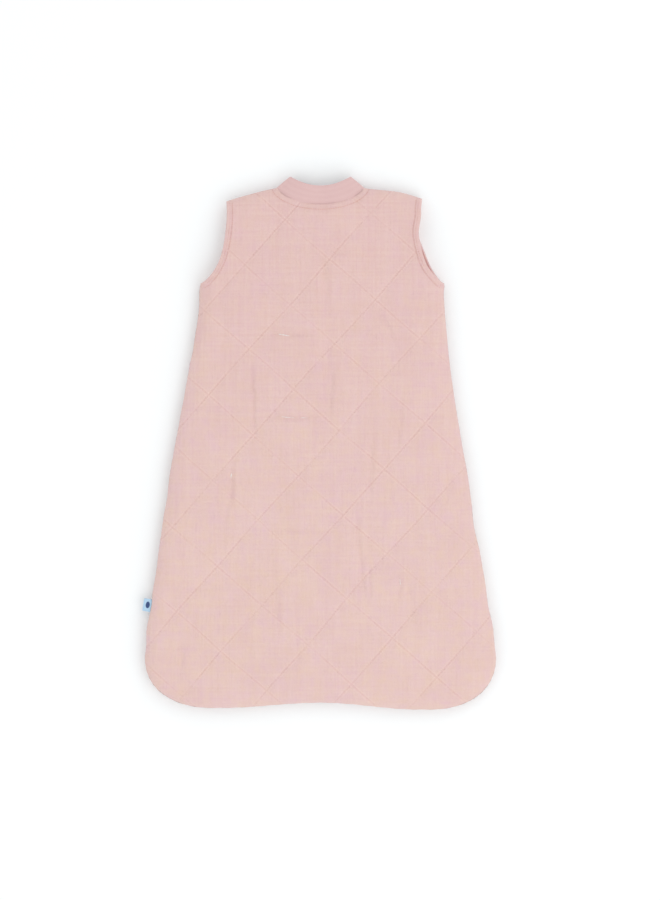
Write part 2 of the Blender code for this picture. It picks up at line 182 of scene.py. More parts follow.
COLLAR_HIGH = 24.5 * MM
COLLAR_THICK = 2.6 * MM
COLLAR_TUCK = 2.4 * MM
COLLAR_UNDER = 1.6 * MM
COLLAR_LEAN = 0.69
COLLAR_FRONT_HIGH = 22 * MM
BINDING_ROOM = 1.2 * MM
BINDING_WIDE = 7 * MM
ZIP_EDGE = 7 * MM
CLOSED_EDGE = 0.3 * MM
WADDING_ZIP_EDGE = 16.5 * MM
LINING_ZIP_EDGE = 9 * MM
NECK_STITCH = 7.2 * MM
FRONT_SHOWS = 5.0 * MM
FRONT_SHOWS_TO = 0.62
FRONT_SHOWS_POWER = 1.1
ZIP_CLOSES_BELOW = 4 * MM
ZIP_CLOSES_OVER = 9 * MM
ZIP_EDGE_POINTS = 300
HEM_FROM = 2 * MM
FRONT_LIFT = 1.6 * MM
ZIP_LIFT = 3.1 * MM
ZIP_ROLL = 5 * MM
LINING_DIP = 0.5 * MM
COLLAR_FRONT_Z = 2.3 * MM

# The strip along which each lapel bends, from the zip's foot to the neck
BEND_FOOT = np.array([0.5 * MM, -246 * MM])
BEND_NECK = np.array([66.5 * MM, 336 * MM])
BEND_WIDE = 14 * MM
BEND_GIVE = 1.6 * MM

# Grids across and up each layer: steps, steps packed closer at each end, share left free at each end
BACK_GRIDS = (((170,), (254,)), ((84, 3, 0.013), (126, 3, 0.009)), ((84, 3, 0.005), (126, 3, 0.003)))
FRONT_GRIDS = (((86,), (254,)), ((120, 3, 0.024), (126, 3, 0.009)), ((120, 3, 0.008), (126, 3, 0.003)))
PACKED_EDGE = 7
PACKED_LEAST = 0.22

# Seam edges: half width and height, how square each is, the thread's ridges, how far in, ends
SEAM_HALF = (3.5 * MM, 1.15 * MM)
SEAM_SQUARE = (0.6, 0.7)
SEAM_AROUND = 14
SEAM_RIDGE = 0.10
SEAM_THREAD = 2.7 * MM
SEAM_IN = 4.6 * MM
SEAM_STEP = 0.9 * MM
SEAM_POINTS = 400
SIDE_SHARES = (0.0, 0.985)
HEM_SHARES = (0.004, 0.996)
SHOULDER_SHARES = (0.12, 0.97)

# Armhole bindings
FOLD_POINTS = 15
FOLD_POWER = 1.35
FOLD_SKIN = 0.7 * MM
FOLD_INNER = 0.97
FOLD_ROUND = 3.0 * MM
FOLD_SOFT = 0.05
BINDING_STEP = 1.1 * MM
BINDING_PROUD = 0.15 * MM
BINDING_INNER = 5 * MM
BINDING_RUN = 130
BINDING_CLEAR = 0.05 * MM
BINDING_CLEAR_INNER = 0.1 * MM
BINDING_SHARP = 50

# Collar: the curve of its top edge, its place at the side and in front, and its rounded flat section
COLLAR_STEP = 1.0 * MM
COLLAR_BELOW_TOP = 0.5 * MM
COLLAR_CURVE = 2.1
COLLAR_SMOOTHED = 4
COLLAR_SIDE_RISE = 0.4 * MM
COLLAR_AT_SIDE = 0.999
COLLAR_FRONT_ROLL = 26 * MM
COLLAR_FRONT_IN = 0.3 * MM
COLLAR_PULLS = ((4 * MM, -18 * MM), (-34 * MM, -4 * MM))
COLLAR_SIDE_PAST = 2 * MM
COLLAR_GAP = 0.15 * MM
COLLAR_RUN_STEP = 0.45 * MM
COLLAR_LEAST = 12
COLLAR_AROUND = 40
COLLAR_RISE_POWER = 0.8
COLLAR_THICK_POWER = 0.45
COLLAR_RIB = 0.006
COLLAR_RIB_STEP = 1.8 * MM
COLLAR_SWELL = 0.10

# Topstitches: step, length and thickness, and how far in and how proud each armhole row is
QUILT_SINK = {"back": 0.03 * MM, "front": 0.05 * MM}
NECK_TOPSTITCH = (2.9 * MM, 2.7 * MM, 0.45 * MM)
NECK_TOPSTITCH_PROUD = 0.12 * MM
NECK_TOPSTITCH_SHARES = (0.02, 0.98)
ARM_TOPSTITCH = (2.7 * MM, 2.2 * MM, 0.26 * MM)
ARM_TOPSTITCH_ROWS = ((4.6 * MM, 0.75 * MM), (8.2 * MM, 0.05 * MM))
ARM_TOPSTITCH_SHARES = (0.03, 0.97)
ARM_TOPSTITCH_SINK = 0.1 * MM
ZIP_TOPSTITCH = (2.9 * MM, 2.4 * MM, 0.26 * MM)
ZIP_TOPSTITCH_IN = 4.5 * MM
ZIP_TOPSTITCH_BELOW = 2 * MM
ZIP_TOPSTITCH_SINK = 0.1 * MM
TOPSTITCH_POINTS = 200
ZIP_TOPSTITCH_POINTS = 400
QUILT_REACH = 700 * MM
QUILT_LINES = range(-9, 10)
QUILT_ROUNDS = 3
QUILT_CLEAR = 3 * MM

# Flat cuts, and the stitches
STITCH_PITCH = 3.0 * MM
STITCH_LONG = 2.5 * MM
STITCH_THICK = 0.11 * MM
STITCH_BELLY = (-0.3, 0.3)

# Zip and labels
TAPE_IN = 0.5 * MM
TAPE_STEP = 0.95 * MM
TAPE_STEP_X = 3.4 * MM
TAPE_STEP_WIDE = 1.2 * MM
TAPE_WAVE = 0.05 * MM
TAPE_WAVE_STEP = 1.4 * MM
TAPE_THICK = 0.45 * MM
TAPE_ACROSS = (20, 4)
TAPE_POINTS = 300
COIL_PITCH = 1.3 * MM
COIL_WIRE = 0.34 * MM
COIL_Z = 4.15 * MM
COIL_WIDER = 0.1 * MM
COIL_FLATTER = 0.25 * MM
COIL_LEAN = 0.2
COIL_POINTS = 10
COIL_AROUND = 5
LABEL_WIDE = 16.5 * MM
LABEL_TURN = math.radians(-10)
LABEL_ROOT = -3.5 * MM
LABEL_OUT = 11 * MM
LABEL_FOLD = 0.45 * MM
LABEL_DROOP = 0.5 * MM
LABEL_BOW = 0.35 * MM
LABEL_CUP = 0.2 * MM
LABEL_THICK = 0.15 * MM
LABEL_RUN_POINTS = 24
LABEL_TURN_POINTS = 12
LABEL_POINTS = 90
LABEL_ACROSS = 22
LABEL_SHARP = 40
INNER_LABEL_GRID = ((30, 3), (24, 3))
INNER_LABEL_GAP = 0.15 * MM
INNER_LABEL_CURL = 1.1 * MM
INNER_LABEL_THICK = 0.35 * MM
MARK_AT = (8.6 * MM, 0.4 * MM)
MARK_HALF = (2.7 * MM, 4.4 * MM)

# Finishes, as linear colours
WEAVE_PITCH = 1.1 * MM
MUSLIN_LIGHT = (0.738, 0.530, 0.416)
MUSLIN_DEEP = (0.708, 0.472, 0.534)
MUSLIN_SHADE = (0.640, 0.425, 0.385)
# Painted shade: the darker, pinker tone the outer muslin takes towards the collar
MUSLIN_TOP_PAINTED_SHADE = (0.690, 0.430, 0.436)
MUSLIN_SLUB = (0.775, 0.590, 0.540)
# Painted shade: the darker, pinker tint along each quilted groove
MUSLIN_GROOVE_PAINTED_SHADE = (0.740, 0.420, 0.370)
# Painted highlight: the lighter tint beside each quilted groove
MUSLIN_PAINTED_HIGHLIGHT = (0.840, 0.610, 0.550)
# Painted shadow: the deeper tint on the lining side of the front bindings' fold
INNER_BINDING_PAINTED_SHADOW = (0.680, 0.340, 0.310)
LINING_LIGHT = (0.750, 0.520, 0.480)
LINING_DEEP = (0.680, 0.445, 0.415)
RIB_LIGHT = (0.700, 0.486, 0.474)
RIB_DEEP = (0.668, 0.450, 0.442)
THREAD_LIGHT = (0.790, 0.565, 0.515)
THREAD_DEEP = (0.760, 0.520, 0.470)
TOPSTITCH_LIGHT = (0.690, 0.410, 0.360)
TOPSTITCH_DEEP = (0.650, 0.370, 0.320)

# The room
FLOOR_HALF = 12.0
FLOOR_Z = -0.3 * MM
FLOOR_TONE = (0.925, 0.95, 0.957)
SKY = 0.97
LAMPS = (
    ("broad_lamp", (1.0, -1.3, 2.1), 2.2, 12.0),
    ("low_lamp", (0.9, 1.6, 1.6), 1.4, 3.0),
)
CAMERA_OVER = (12.5 * MM, -9.2 * MM)
CAMERA_HIGH = 2.806
LENS = 85
SENSOR = 36
SEES_TO = 20

# Edges sharper than this many degrees stay crisp
SHARP = 60

ROWS_AT_ONCE = 2000
SEED = 7
TINY = 1e-12
NEAR_ZERO = 1e-9
SIDES = {"left": -1, "right": 1}


# ---------------------------------------------------------------- lines and fields in plan

def sweep(start, pull_out, end, pull_in, steps=90):
    """Points of the cubic that leaves start along pull_out and reaches end along pull_in."""
    t = np.linspace(0.0, 1.0, steps)[:, None]
    start, pull_out, end, pull_in = (np.array(v, float) for v in (start, pull_out, end, pull_in))
    points = (2 * t**3 - 3 * t**2 + 1) * start + (t**3 - 2 * t**2 + t) * pull_out
    return points + (3 * t**2 - 2 * t**3) * end + (t**3 - t**2) * pull_in


def lengths(line):
    """How far along the line each of its points is."""
    steps = np.linalg.norm(np.diff(line, axis=0), axis=1)
    return np.concatenate([[0.0], np.cumsum(steps)])


def spread(line, shares):
    """The line's points at these shares of its length."""
    run = lengths(line)
    at = np.asarray(shares) * run[-1]
    return np.stack([np.interp(at, run, column) for column in line.T], axis=1)


def unit(vectors, spare=0.0):
    """Each row divided by its length; spare keeps a row of no length from failing."""
    return vectors / (np.linalg.norm(vectors, axis=1)[:, None] + spare)


def left_of(line):
    """Unit vectors square to a plan line, on its left: its slope turned a quarter."""
    along = unit(np.gradient(line, axis=0))
    return np.stack([-along[:, 1], along[:, 0]], axis=1)


def beside(line, distance):
    """The line moved to its left by distance, which may vary along it."""
    return line + left_of(line) * np.broadcast_to(distance, len(line))[:, None]


def other_side(line):
    """The line mirrored to the left of the bag, still running the same way up."""
    return line * np.array([-1.0, 1.0])


def smooth(t):
    """From 0 to 1 with level ends: three t squared less two t cubed."""
    t = np.clip(t, 0.0, 1.0)
    return t * t * (3 - 2 * t)


def bell(x, wide):
    """A soft bump, 1 in the middle and 1/e at wide."""
    return np.exp(-((x / wide) ** 2))


def squarish(wave, power):
    """A sine or cosine pushed out to its ends: its sign times its size to a power below 1."""
    return np.sign(wave) * np.abs(wave) ** power


def rolls(share_x, share_y):
    """Two arrays of matching shape, as the pairs of a section or of a map."""
    return np.stack(np.broadcast_arrays(share_x, share_y), axis=2)


def round_edge(t):
    """The rise of a quarter round, 0 at the edge and 1 from t = 1 inwards."""
    return np.sqrt(np.clip(1 - (1 - np.clip(t, 0.0, 1.0)) ** 2, 0.0, 1.0))


def hem_y(x):
    """The hem dips either side of the middle, a little less on the left."""
    wave = HEM_RISE * np.cos(np.pi * np.clip(x / HEM_LOW_X, -1, 1) / 2) ** 2
    return FOOT + wave + HEM_LIFT * smooth(-x / HEM_LOW_X) * (1 - smooth(-wave / HEM_RISE))


def eased(at, knots):
    """A line through the knots that levels out at each of them."""
    where, value = (np.array(column, float) * MM for column in zip(*knots))
    k = np.clip(np.searchsorted(where, at) - 1, 0, len(where) - 2)
    share = smooth((at - where[k]) / (where[k + 1] - where[k]))
    return value[k] + share * (value[k + 1] - value[k])


def laid(line):
    """The line as the bag lies: each side pushed a little by its knots, the right shoulder lifted."""
    x, y = line[:, 0], line[:, 1]
    right = smooth((x - LIES_FROM) / LIES_EASE)
    left = smooth((-x - LIES_FROM) / LIES_EASE)
    push = right * eased(y, RIGHT_LIES) + left * eased(y, LEFT_LIES)
    lift = SHOULDER_LIFT * right * smooth((y - SHOULDER_FROM) / LIES_EASE)
    return line + np.stack([push, lift], axis=1)


def corner():
    """The right bottom corner, from the hem round to the side."""
    start, end = (HEM_X - CORNER_RUN, FOOT), (HEM_X, FOOT + CORNER_RISE)
    return sweep(start, CORNER_PULLS[0], end, CORNER_PULLS[1])


def side():
    """The right side, from the bottom corner to the underarm, leaning in a little at both ends."""
    rise = UNDERARM_Y - (FOOT + CORNER_RISE)
    out, back = ((lean * rise, rise) for lean in SIDE_LEANS)
    return sweep((HEM_X, FOOT + CORNER_RISE), out, (CHEST_X, UNDERARM_Y), back, SIDE_POINTS)


def armhole():
    """The right armhole, a hook in from the underarm and up to the shoulder."""
    reach = SHOULDER_Y - UNDERARM_Y
    out, back = ((over * reach, up * reach) for over, up in ARM_PULLS)
    return sweep((CHEST_X, UNDERARM_Y), out, (SHOULDER_X, SHOULDER_Y), back)


def plain_side(sign):
    """From the middle of the bottom corner up to the underarm, before the bag is laid down."""
    turn = corner()
    up = np.concatenate([turn[len(turn) // 2 : -1], side()])
    if sign > 0:
        return up
    lift = HEM_LIFT * (1 - smooth((up[:, 1] - FOOT) / CORNER_RISE))
    return other_side(up) + np.stack([0 * lift, lift], axis=1)


def side_line(sign):
    """The same, as the bag lies."""
    return laid(plain_side(sign))


def shoulder_line(sign):
    """From the armhole to the neck."""
    run = SHOULDER_X - NECK_X
    out, back = ((over * run, up) for over, up in SHOULDER_PULLS)
    line = sweep((SHOULDER_X, SHOULDER_Y), out, (NECK_X, NECK_Y), back)
    return laid(line if sign > 0 else other_side(line))


def hem_line():
    """From the middle of the left corner to the middle of the right one."""
    x = np.linspace(-(HEM_X - CORNER_RUN), HEM_X - CORNER_RUN, HEM_POINTS)
    turn = corner()
    right = turn[1 : len(turn) // 2 + 1]
    left = other_side(right)[::-1] + np.array([0.0, HEM_LIFT])
    left[0] = plain_side(-1)[0]
    return laid(np.concatenate([left, np.stack([x, hem_y(x)], axis=1), right]))


def back_neck():
    """The back neckline from left to right, a shallow scoop that steepens to its ends."""
    x = NECK_X * np.sin(np.linspace(-np.pi / 2, np.pi / 2, BACK_NECK_POINTS))
    deep = np.clip(1 - (x / NECK_X) ** 2, 0, 1) ** NECK_ROUND
    return np.stack([x, NECK_Y - BACK_SCOOP * deep], axis=1)


def front_neck():
    """The right half of the front neckline, from the zip out to the shoulder, a half ellipse."""
    turn = np.linspace(math.asin(ZIP_EDGE / NECK_X), math.pi / 2, FRONT_NECK_POINTS)
    return np.stack([NECK_X * np.sin(turn), NECK_Y - FRONT_SCOOP * np.cos(turn)], axis=1)


def arm_edge(sign, part):
    """An armhole's edge. The right one's front half shows a little past the back half, low down."""
    line = laid(armhole() if sign > 0 else other_side(armhole()))
    if sign > 0 and part == "front":
        share = lengths(line) / lengths(line)[-1]
        bulge = np.sin(np.pi * np.clip(share / FRONT_SHOWS_TO, 0, 1)) ** FRONT_SHOWS_POWER
        line = beside(line, -FRONT_SHOWS * bulge)
    return line


def nearest(points, lines):
    """The distance of each point to the nearest point of the lines, which are dense."""
    counts = [int(lengths(line)[-1] / MARK_STEP) + 2 for line in lines]
    marks = np.concatenate([spread(line, np.linspace(0, 1, n)) for line, n in zip(lines, counts)])
    flat = points.reshape(-1, 2)
    found = np.empty(len(flat))
    for start in range(0, len(flat), ROWS_AT_ONCE):
        part = flat[start : start + ROWS_AT_ONCE]
        gaps = part[:, None, :] - marks[None, :, :]
        found[start : start + ROWS_AT_ONCE] = np.sqrt((gaps**2).sum(2).min(1))
    return found.reshape(points.shape[:-1])


def seam_lines():
    """Every line along which the back is sewn to the front."""
    return [hem_line(), side_line(1), side_line(-1), shoulder_line(1), shoulder_line(-1)]


def zip_edge_x(y, zip_edge):
    """How far from the middle the front's edge runs: zip_edge beside the zip, closing at its foot."""
    foot_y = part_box("bottom_stop")[0][1]
    open_share = smooth((y - foot_y + ZIP_CLOSES_BELOW) / ZIP_CLOSES_OVER)
    return CLOSED_EDGE + (zip_edge - CLOSED_EDGE) * open_share


def ripple(x, y, step_x, step_y, seed):
    """Smooth noise from -1 to 1: random values on a lattice, blended between its corners."""
    chance = np.random.default_rng(SEED + seed)
    lattice = chance.uniform(-1, 1, (LATTICE, LATTICE))
    a, b = x / step_x, y / step_y
    i, j = np.floor(a).astype(int), np.floor(b).astype(int)
    s, t = smooth(a - i), smooth(b - j)
    pick = lambda p, q: lattice[p % LATTICE, q % LATTICE]
    low = pick(i, j) * (1 - s) + pick(i + 1, j) * s
    high = pick(i, j + 1) * (1 - s) + pick(i + 1, j + 1) * s
    return low * (1 - t) + high * t


def quilt_places(x, y, part):
    """How far each point is along and across both quilting sets, the lines wandering a little."""
    sign = 1.0 if part == "back" else -1.0
    px, py = sign * x - QUILT_AT[0], y - QUILT_AT[1]
    found = []
    for turn, seed in zip(QUILT_TURNS, QUILT_SEEDS):
        wander = QUILT_WANDER * ripple(x, y, *WANDER_STEPS, seed)
        found.append(-math.sin(turn) * px + math.cos(turn) * py + wander)
    return found


def quilt_offsets(x, y, part):
    """Signed distance to the nearest line of each quilting set, and the place along that set."""
    one, two = quilt_places(x, y, part)
    near = [across - step * np.round(across / step) for across, step in zip((one, two), QUILT_STEPS)]
    return (near[0], two), (near[1], one)


# Creases pressed in by folding, in mm and degrees: middle, length, turn from level, depth, half width
CREASE_DEEPER = 2.4
CREASE_WANDER = 1.5 * MM
CREASES = (
    (15, 69, 52, 88, 0.8, 2.2),
    (-116, -56, 40, 91, 0.7, 2.2),
    (104, -187, 42, 86, 0.8, 2.2),
    (65, -183, 46, 92, 0.7, 2.2),
    (-182, -285, 50, 88, 0.7, 2.2),
    (-37, 142, 62, 1, 1.1, 2.6),
    (-34, 33, 70, -2, 1.0, 2.8),
    (-30, -114, 38, 1, 0.9, 2.6),
    (6, 205, 70, 92, 1.1, 5.0),
    (9, 88, 120, 90, 0.9, 6.0),
    (-88, 60, 95, 93, 0.8, 2.4),
    (66, -32, 90, 88, 0.9, 3.0),
    (52, -150, 110, 97, 1.0, 3.0),
    (104, 28, 80, 86, 0.8, 3.4),
    (-120, -70, 100, 84, 0.7, 3.0),
    (-58, -210, 90, 95, 0.8, 3.2),
    (120, -210, 70, 99, 0.8, 3.0),
    (24, 250, 40, 4, 0.7, 3.0),
    (-146, -190, 60, 8, 0.6, 3.0),
    (88, 150, 60, 118, 0.7, 3.0),
)


def creases(x, y):
    """The sum of the pressed creases, each a long soft groove."""
    total = np.zeros_like(x)
    for mid_x, mid_y, length, turn, depth, half in CREASES:
        px, py = x - mid_x * MM, y - mid_y * MM
        angle = math.radians(turn)
        along = math.cos(angle) * px + math.sin(angle) * py
        across = -math.sin(angle) * px + math.cos(angle) * py
        across = across - CREASE_WANDER * ripple(along, along, *CREASE_RIPPLE)
        reach = np.exp(-((2 * along / (length * MM)) ** 4))
        total -= CREASE_DEEPER * depth * MM * reach * bell(across, half * MM)
    return total


def quilted(x, y, part):
    """How far the muslin stands above or below the panel's own plane: puffed diamonds with sharp
    stitched valleys, small puckers across the stitches, and the crinkle of washed muslin."""
    (one, along_one), (two, along_two) = quilt_offsets(x, y, part)
    valley = np.minimum(np.abs(one), np.abs(two) + GROOVE_FAINTER)
    near = np.abs(one) * np.abs(two) / (np.abs(one) + np.abs(two) + NEAR_ZERO)
    height = PUFF * (1 - np.exp(-near / PUFF_WIDE)) - PUFF_SINK * PUFF
    height -= GROOVE * bell(valley, GROOVE_WIDE)
    for offset, along, share in zip((one, two), (along_one, along_two), PUCKER_SHARES):
        pucker = np.sin(2 * np.pi * along / PUCKER_STEP + PUCKER_WANDER * ripple(x, y, *PUCKER_RIPPLE))
        height += PUCKER * share * pucker * np.exp(-np.abs(offset) / PUCKER_REACH)
    patch = 0.5 + 0.5 * ripple(x, y, *PATCH_RIPPLE)
    height += CRINKLE_UP * patch * ripple(x, y, *CRINKLE_UP_RIPPLE)
    height += CRINKLE_OVER * (1 - patch) * ripple(x, y, *CRINKLE_OVER_RIPPLE)
    height += CRINKLE_FINE * ripple(x, y, *CRINKLE_FINE_RIPPLE)
    return height


def panel_fields(points, part):
    """Distance in from the seams, and in from the free edges at the neck and the armholes."""
    neck = back_neck() if part == "back" else front_neck()
    free = [arm_edge(1, part), arm_edge(-1, part), neck]
    if part == "front":
        free.append(other_side(front_neck()))
    return nearest(points, seam_lines()), nearest(points, free)


def outer_height(points, part, fields=None):
    """Outside face of the muslin: a round rise from the seam, the quilting, and a drop to free edges."""
    x, y = points[..., 0], points[..., 1]
    seam, free = panel_fields(points, part) if fields is None else fields
    well_in = smooth(seam / INSIDE_WIDE)
    shown = SURFACE_AT_SEAM + (1 - SURFACE_AT_SEAM) * well_in
    surface = quilted(x, y, part) * shown * smooth(seam / SEAM_EASE)
    drop = FREE_DROP * (1 - round_edge(free / FREE_ROLL))
    if part == "back":
        rise = BACK_LOFT * round_edge(seam / ROLL) + well_in * LOFT_SWELL * ripple(x, y, *LOFT_RIPPLE)
        rise = rise + creases(x, y) * smooth(seam / CREASE_EASE)
        by_neck = (y > NECK_GROOVE_FROM) * smooth((NECK_GROOVE_HALF - np.abs(x)) / EDGE_EASE)
        rise = rise - NECK_GROOVE * by_neck * bell(free - NECK_STITCH, NECK_GROOVE_WIDE)
        return MIDDLE + SEAM_CLOTH + rise + surface - drop * smooth(seam / EDGE_EASE)
    fall = FRONT_LOFT * round_edge(seam / ROLL)
    pressed_in = np.minimum(surface, LYING_MOST) * LYING_SHARE
    lying = np.maximum(0.0, MIDDLE - SEAM_CLOTH - fall - pressed_in)
    lying = lying + FRONT_LIFT * (1 - round_edge(free / FREE_ROLL)) * smooth(seam / ROLL)
    to_zip = np.abs(x) - zip_edge_x(y, ZIP_EDGE)
    lift = ZIP_LIFT * (1 - round_edge(to_zip / ZIP_ROLL)) * smooth(seam / ROLL)
    return np.maximum(lying, lift)


def lining_height(points, part, fields=None):
    """Inside face of the lining, a smooth hollow that closes towards the seams."""
    seam, _ = panel_fields(points, part) if fields is None else fields
    x, y = points[..., 0], points[..., 1]
    soft = LINING_SOFT * ripple(x, y, *LINING_RIPPLE) * smooth(seam / LINING_SOFT_EASE)
    room = SEAM_ROOM + HOLLOW * smooth(seam / HOLLOW_WIDE) + soft
    if part == "back":
        return MIDDLE + room
    to_zip = np.abs(x) - zip_edge_x(y, LINING_ZIP_EDGE)
    return MIDDLE - room - LINING_DIP * (1 - smooth(to_zip / ZIP_ROLL)) * smooth(seam / ROLL)


# ---------------------------------------------------------------- meshes

def solid(name, points, faces, uv=None, sharp=0):
    """A closed mesh, turned to face outwards by the sign of its volume. A row of faces that repeats its
    last corner is a triangle, and edges sharper than sharp, in degrees, stay crisp."""
    a, b, c, d = (points[faces[:, k]] for k in range(4))
    volume = np.einsum("ij,ij->i", a, np.cross(b, c)).sum() + np.einsum("ij,ij->i", a, np.cross(c, d)).sum()
    if volume < 0:
        faces = faces[:, ::-1].copy()
        double = faces[:, 0] == faces[:, 1]
        faces[double] = faces[double][:, [1, 2, 3, 3]]
    listed = [row[:3] if row[2] == row[3] else row for row in faces.tolist()]
    mesh = bpy.data.meshes.new(name)
    mesh.from_pydata(points.tolist(), [], listed)
    if uv is not None:
        add_map(mesh, "UVMap", uv)
    mesh.shade_smooth()
    if sharp:
        mesh.set_sharp_from_angle(angle=math.radians(sharp))
    return in_scene(name, mesh)


def in_scene(name, data):
    """A new object for a mesh, a lamp or a camera, in the scene."""
    made = bpy.data.objects.new(name, data)
    bpy.context.scene.collection.objects.link(made)
    return made


def grid_faces(rows, columns, wrap=False):
    """Quads over a grid of points; wrap closes it round the columns."""
    i = np.arange(rows - 1)[:, None]
    j = np.arange(columns if wrap else columns - 1)[None, :]
    after = (j + 1) % columns
    corners = (i * columns + j, i * columns + after, (i + 1) * columns + after, (i + 1) * columns + j)
    shape = np.broadcast_shapes(i.shape, j.shape)
    return np.stack([np.broadcast_to(c, shape) for c in corners], 2).reshape(-1, 4)


def layer(name, place, low, high, part=None):
    """A cloth or wadding layer: the same plan grid at two heights, closed round its rim. Its second
    map holds the place across both quilting sets, in steps of each, so that a finish can find them."""
    rows, columns = low.shape
    count = rows * columns
    points = np.concatenate(
        [np.dstack([place, high]).reshape(-1, 3), np.dstack([place, low]).reshape(-1, 3)]
    )
    top = grid_faces(rows, columns)
    index = np.arange(count).reshape(rows, columns)
    loop = np.concatenate([index[0, :-1], index[:-1, -1], index[-1, :0:-1], index[:0:-1, 0]])
    following = np.roll(loop, -1)
    rim = np.stack([loop, loop + count, following + count, following], axis=1)
    faces = np.concatenate([top, top[:, ::-1] + count, rim])
    plan = place.reshape(-1, 2)
    made = solid(name, points, faces, np.concatenate([plan, plan]))
    if part:
        one, two = quilt_places(plan[:, 0], plan[:, 1], part)
        quilt = np.stack([one / QUILT_STEPS[0], two / QUILT_STEPS[1]], axis=1)
        add_map(made.data, "Quilt", np.concatenate([quilt, quilt]))
    return made


def add_map(mesh, name, spots):
    """A UV map that gives every corner of a face the spot of its point."""
    corners = np.empty(len(mesh.loops), np.int32)
    mesh.loops.foreach_get("vertex_index", corners)
    mesh.uv_layers.new(name=name).data.foreach_set("uv", np.asarray(spots, np.float32)[corners].ravel())


def tube(name, rings, sharp=SHARP, uv=None):
    """A closed solid through rings of points (stations, round, 3), with a fan at each end."""
    stations, around = rings.shape[:2]
    body = grid_faces(stations, around, True)
    first, last = stations * around, stations * around + 1
    ends = []
    for hub, start in ((first, 0), (last, (stations - 1) * around)):
        ring = start + np.arange(around)
        after = start + (np.arange(around) + 1) % around
        pair = (after, ring) if hub == first else (ring, after)
        ends.append(np.stack([np.full(around, hub), pair[0], pair[1], pair[1]], axis=1))
    points = np.concatenate([rings.reshape(-1, 3), [rings[0].mean(0)], [rings[-1].mean(0)]])
    faces = np.concatenate([body, *ends])
    made_uv = None if uv is None else np.concatenate([uv.reshape(-1, 2), uv[0, :1], uv[-1, :1]])
    return solid(name, points, faces, made_uv, sharp)


def packed(count, edge=PACKED_EDGE, inset=0.0):
    """Shares from 0 to 1 that lie closer together at both ends, for the round of an edge, starting and
    ending a little way in."""
    steps = np.ones(count)
    near = np.linspace(PACKED_LEAST, 1.0, edge)
    steps[:edge] = near
    steps[-edge:] = near[::-1]
    shares = np.concatenate([[0.0], np.cumsum(steps)])
    return inset + (1 - 2 * inset) * (shares / shares[-1])


def patch(edges, grid):
    """A grid over four edge lines, blended between them (a Coons patch): the line between left and
    right, plus the line between bottom and top, less the flat blend of the corners."""
    bottom, top, left, right = edges
    across, up = (packed(*counts) for counts in grid)
    corners = [line[k] for line in (bottom, top) for k in (0, -1)]
    u, v = across[None, :, None], up[:, None, None]
    ends = (1 - u) * (1 - v) * corners[0] + u * (1 - v) * corners[1]
    ends = ends + (1 - u) * v * corners[2] + u * v * corners[3]
    level = (1 - v) * spread(bottom, across)[None] + v * spread(top, across)[None]
    upright = (1 - u) * spread(left, up)[:, None] + u * spread(right, up)[:, None]
    return level + upright - ends


def back_edges():
    """Bottom, top, left and right edges of the back, a little short of its bound armholes."""
    right = np.concatenate([side_line(1)[:-1], beside(arm_edge(1, "back"), BINDING_ROOM)])
    left = np.concatenate([side_line(-1)[:-1], beside(arm_edge(-1, "back"), -BINDING_ROOM)])
    top = np.concatenate([shoulder_line(-1), back_neck()[1:-1], shoulder_line(1)[::-1]])
    top[0], top[-1] = left[-1], right[-1]
    return hem_line(), top, left, right


def front_edges(zip_edge, sign):
    """The same for one front, drawn as the right one: its left edge runs beside the zip and closes
    below it. The left front uses the bag's own left lines, mirrored."""
    mine = (lambda line: line) if sign > 0 else other_side
    hem = mine(hem_line())[::sign]
    half = hem[hem[:, 0] > HEM_FROM]
    start = np.array([[CLOSED_EDGE, np.interp(CLOSED_EDGE, hem[:, 0], hem[:, 1])]])
    neck = front_neck()
    neck = neck[neck[:, 0] >= zip_edge]
    y = np.linspace(start[0, 1], neck[0, 1], ZIP_EDGE_POINTS)
    x = zip_edge_x(y, neck[0, 0])
    edge = beside(mine(arm_edge(sign, "front")), BINDING_ROOM)
    right = np.concatenate([mine(side_line(sign))[:-1], edge])
    top = np.concatenate([neck[:-1], mine(shoulder_line(sign))[::-1]])
    top[-1] = right[-1]
    return np.concatenate([start, half]), top, np.stack([x, y], axis=1), right


def outline_of(edges):
    """The four edges as one closed line, anticlockwise."""
    bottom, top, left, right = edges
    return np.concatenate([bottom, right[1:], top[::-1][1:], left[::-1][1:-1]])


def area_of(line):
    """Half the sum of the cross products of its points, the shoelace formula."""
    following = np.roll(line, -1, axis=0)
    return abs((line[:, 0] * following[:, 1] - line[:, 1] * following[:, 0]).sum()) / 2


def inside(points, line):
    """Which points lie within a closed line: an odd number of its edges cross their level."""
    a, b = line[None], np.roll(line, -1, axis=0)[None]
    x, y = points[:, :1], points[:, 1:]
    spans = (a[..., 1] > y) != (b[..., 1] > y)
    with np.errstate(divide="ignore", invalid="ignore"):
        cross = a[..., 0] + (y - a[..., 1]) * (b[..., 0] - a[..., 0]) / (b[..., 1] - a[..., 1])
    return (spans & (x < cross)).sum(1) % 2 == 1


# ---------------------------------------------------------------- the lapels' bend, and each piece's finish

def bend_inward():
    """The direction square to the bend, from its start towards the zip, in plan."""
    along = BEND_NECK - BEND_FOOT
    return np.array([-along[1], along[0]]) / np.linalg.norm(along)


def bend_give(place):
    """How much thinner the wadding is where the front folds out, greatest in the middle of the bend."""
    inward = bend_inward()
    middle = (BEND_FOOT + BEND_NECK + inward * BEND_WIDE) / 2
    off = (np.abs(place[..., 0]) - middle[0]) * inward[0] + (place[..., 1] - middle[1]) * inward[1]
    return BEND_GIVE * bell(off, BEND_WIDE)


def bends(piece, side_name):
    """Bakes the piece's place into its mesh and gives it back."""
    side_name + "_lapel"
    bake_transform(piece)
    return piece


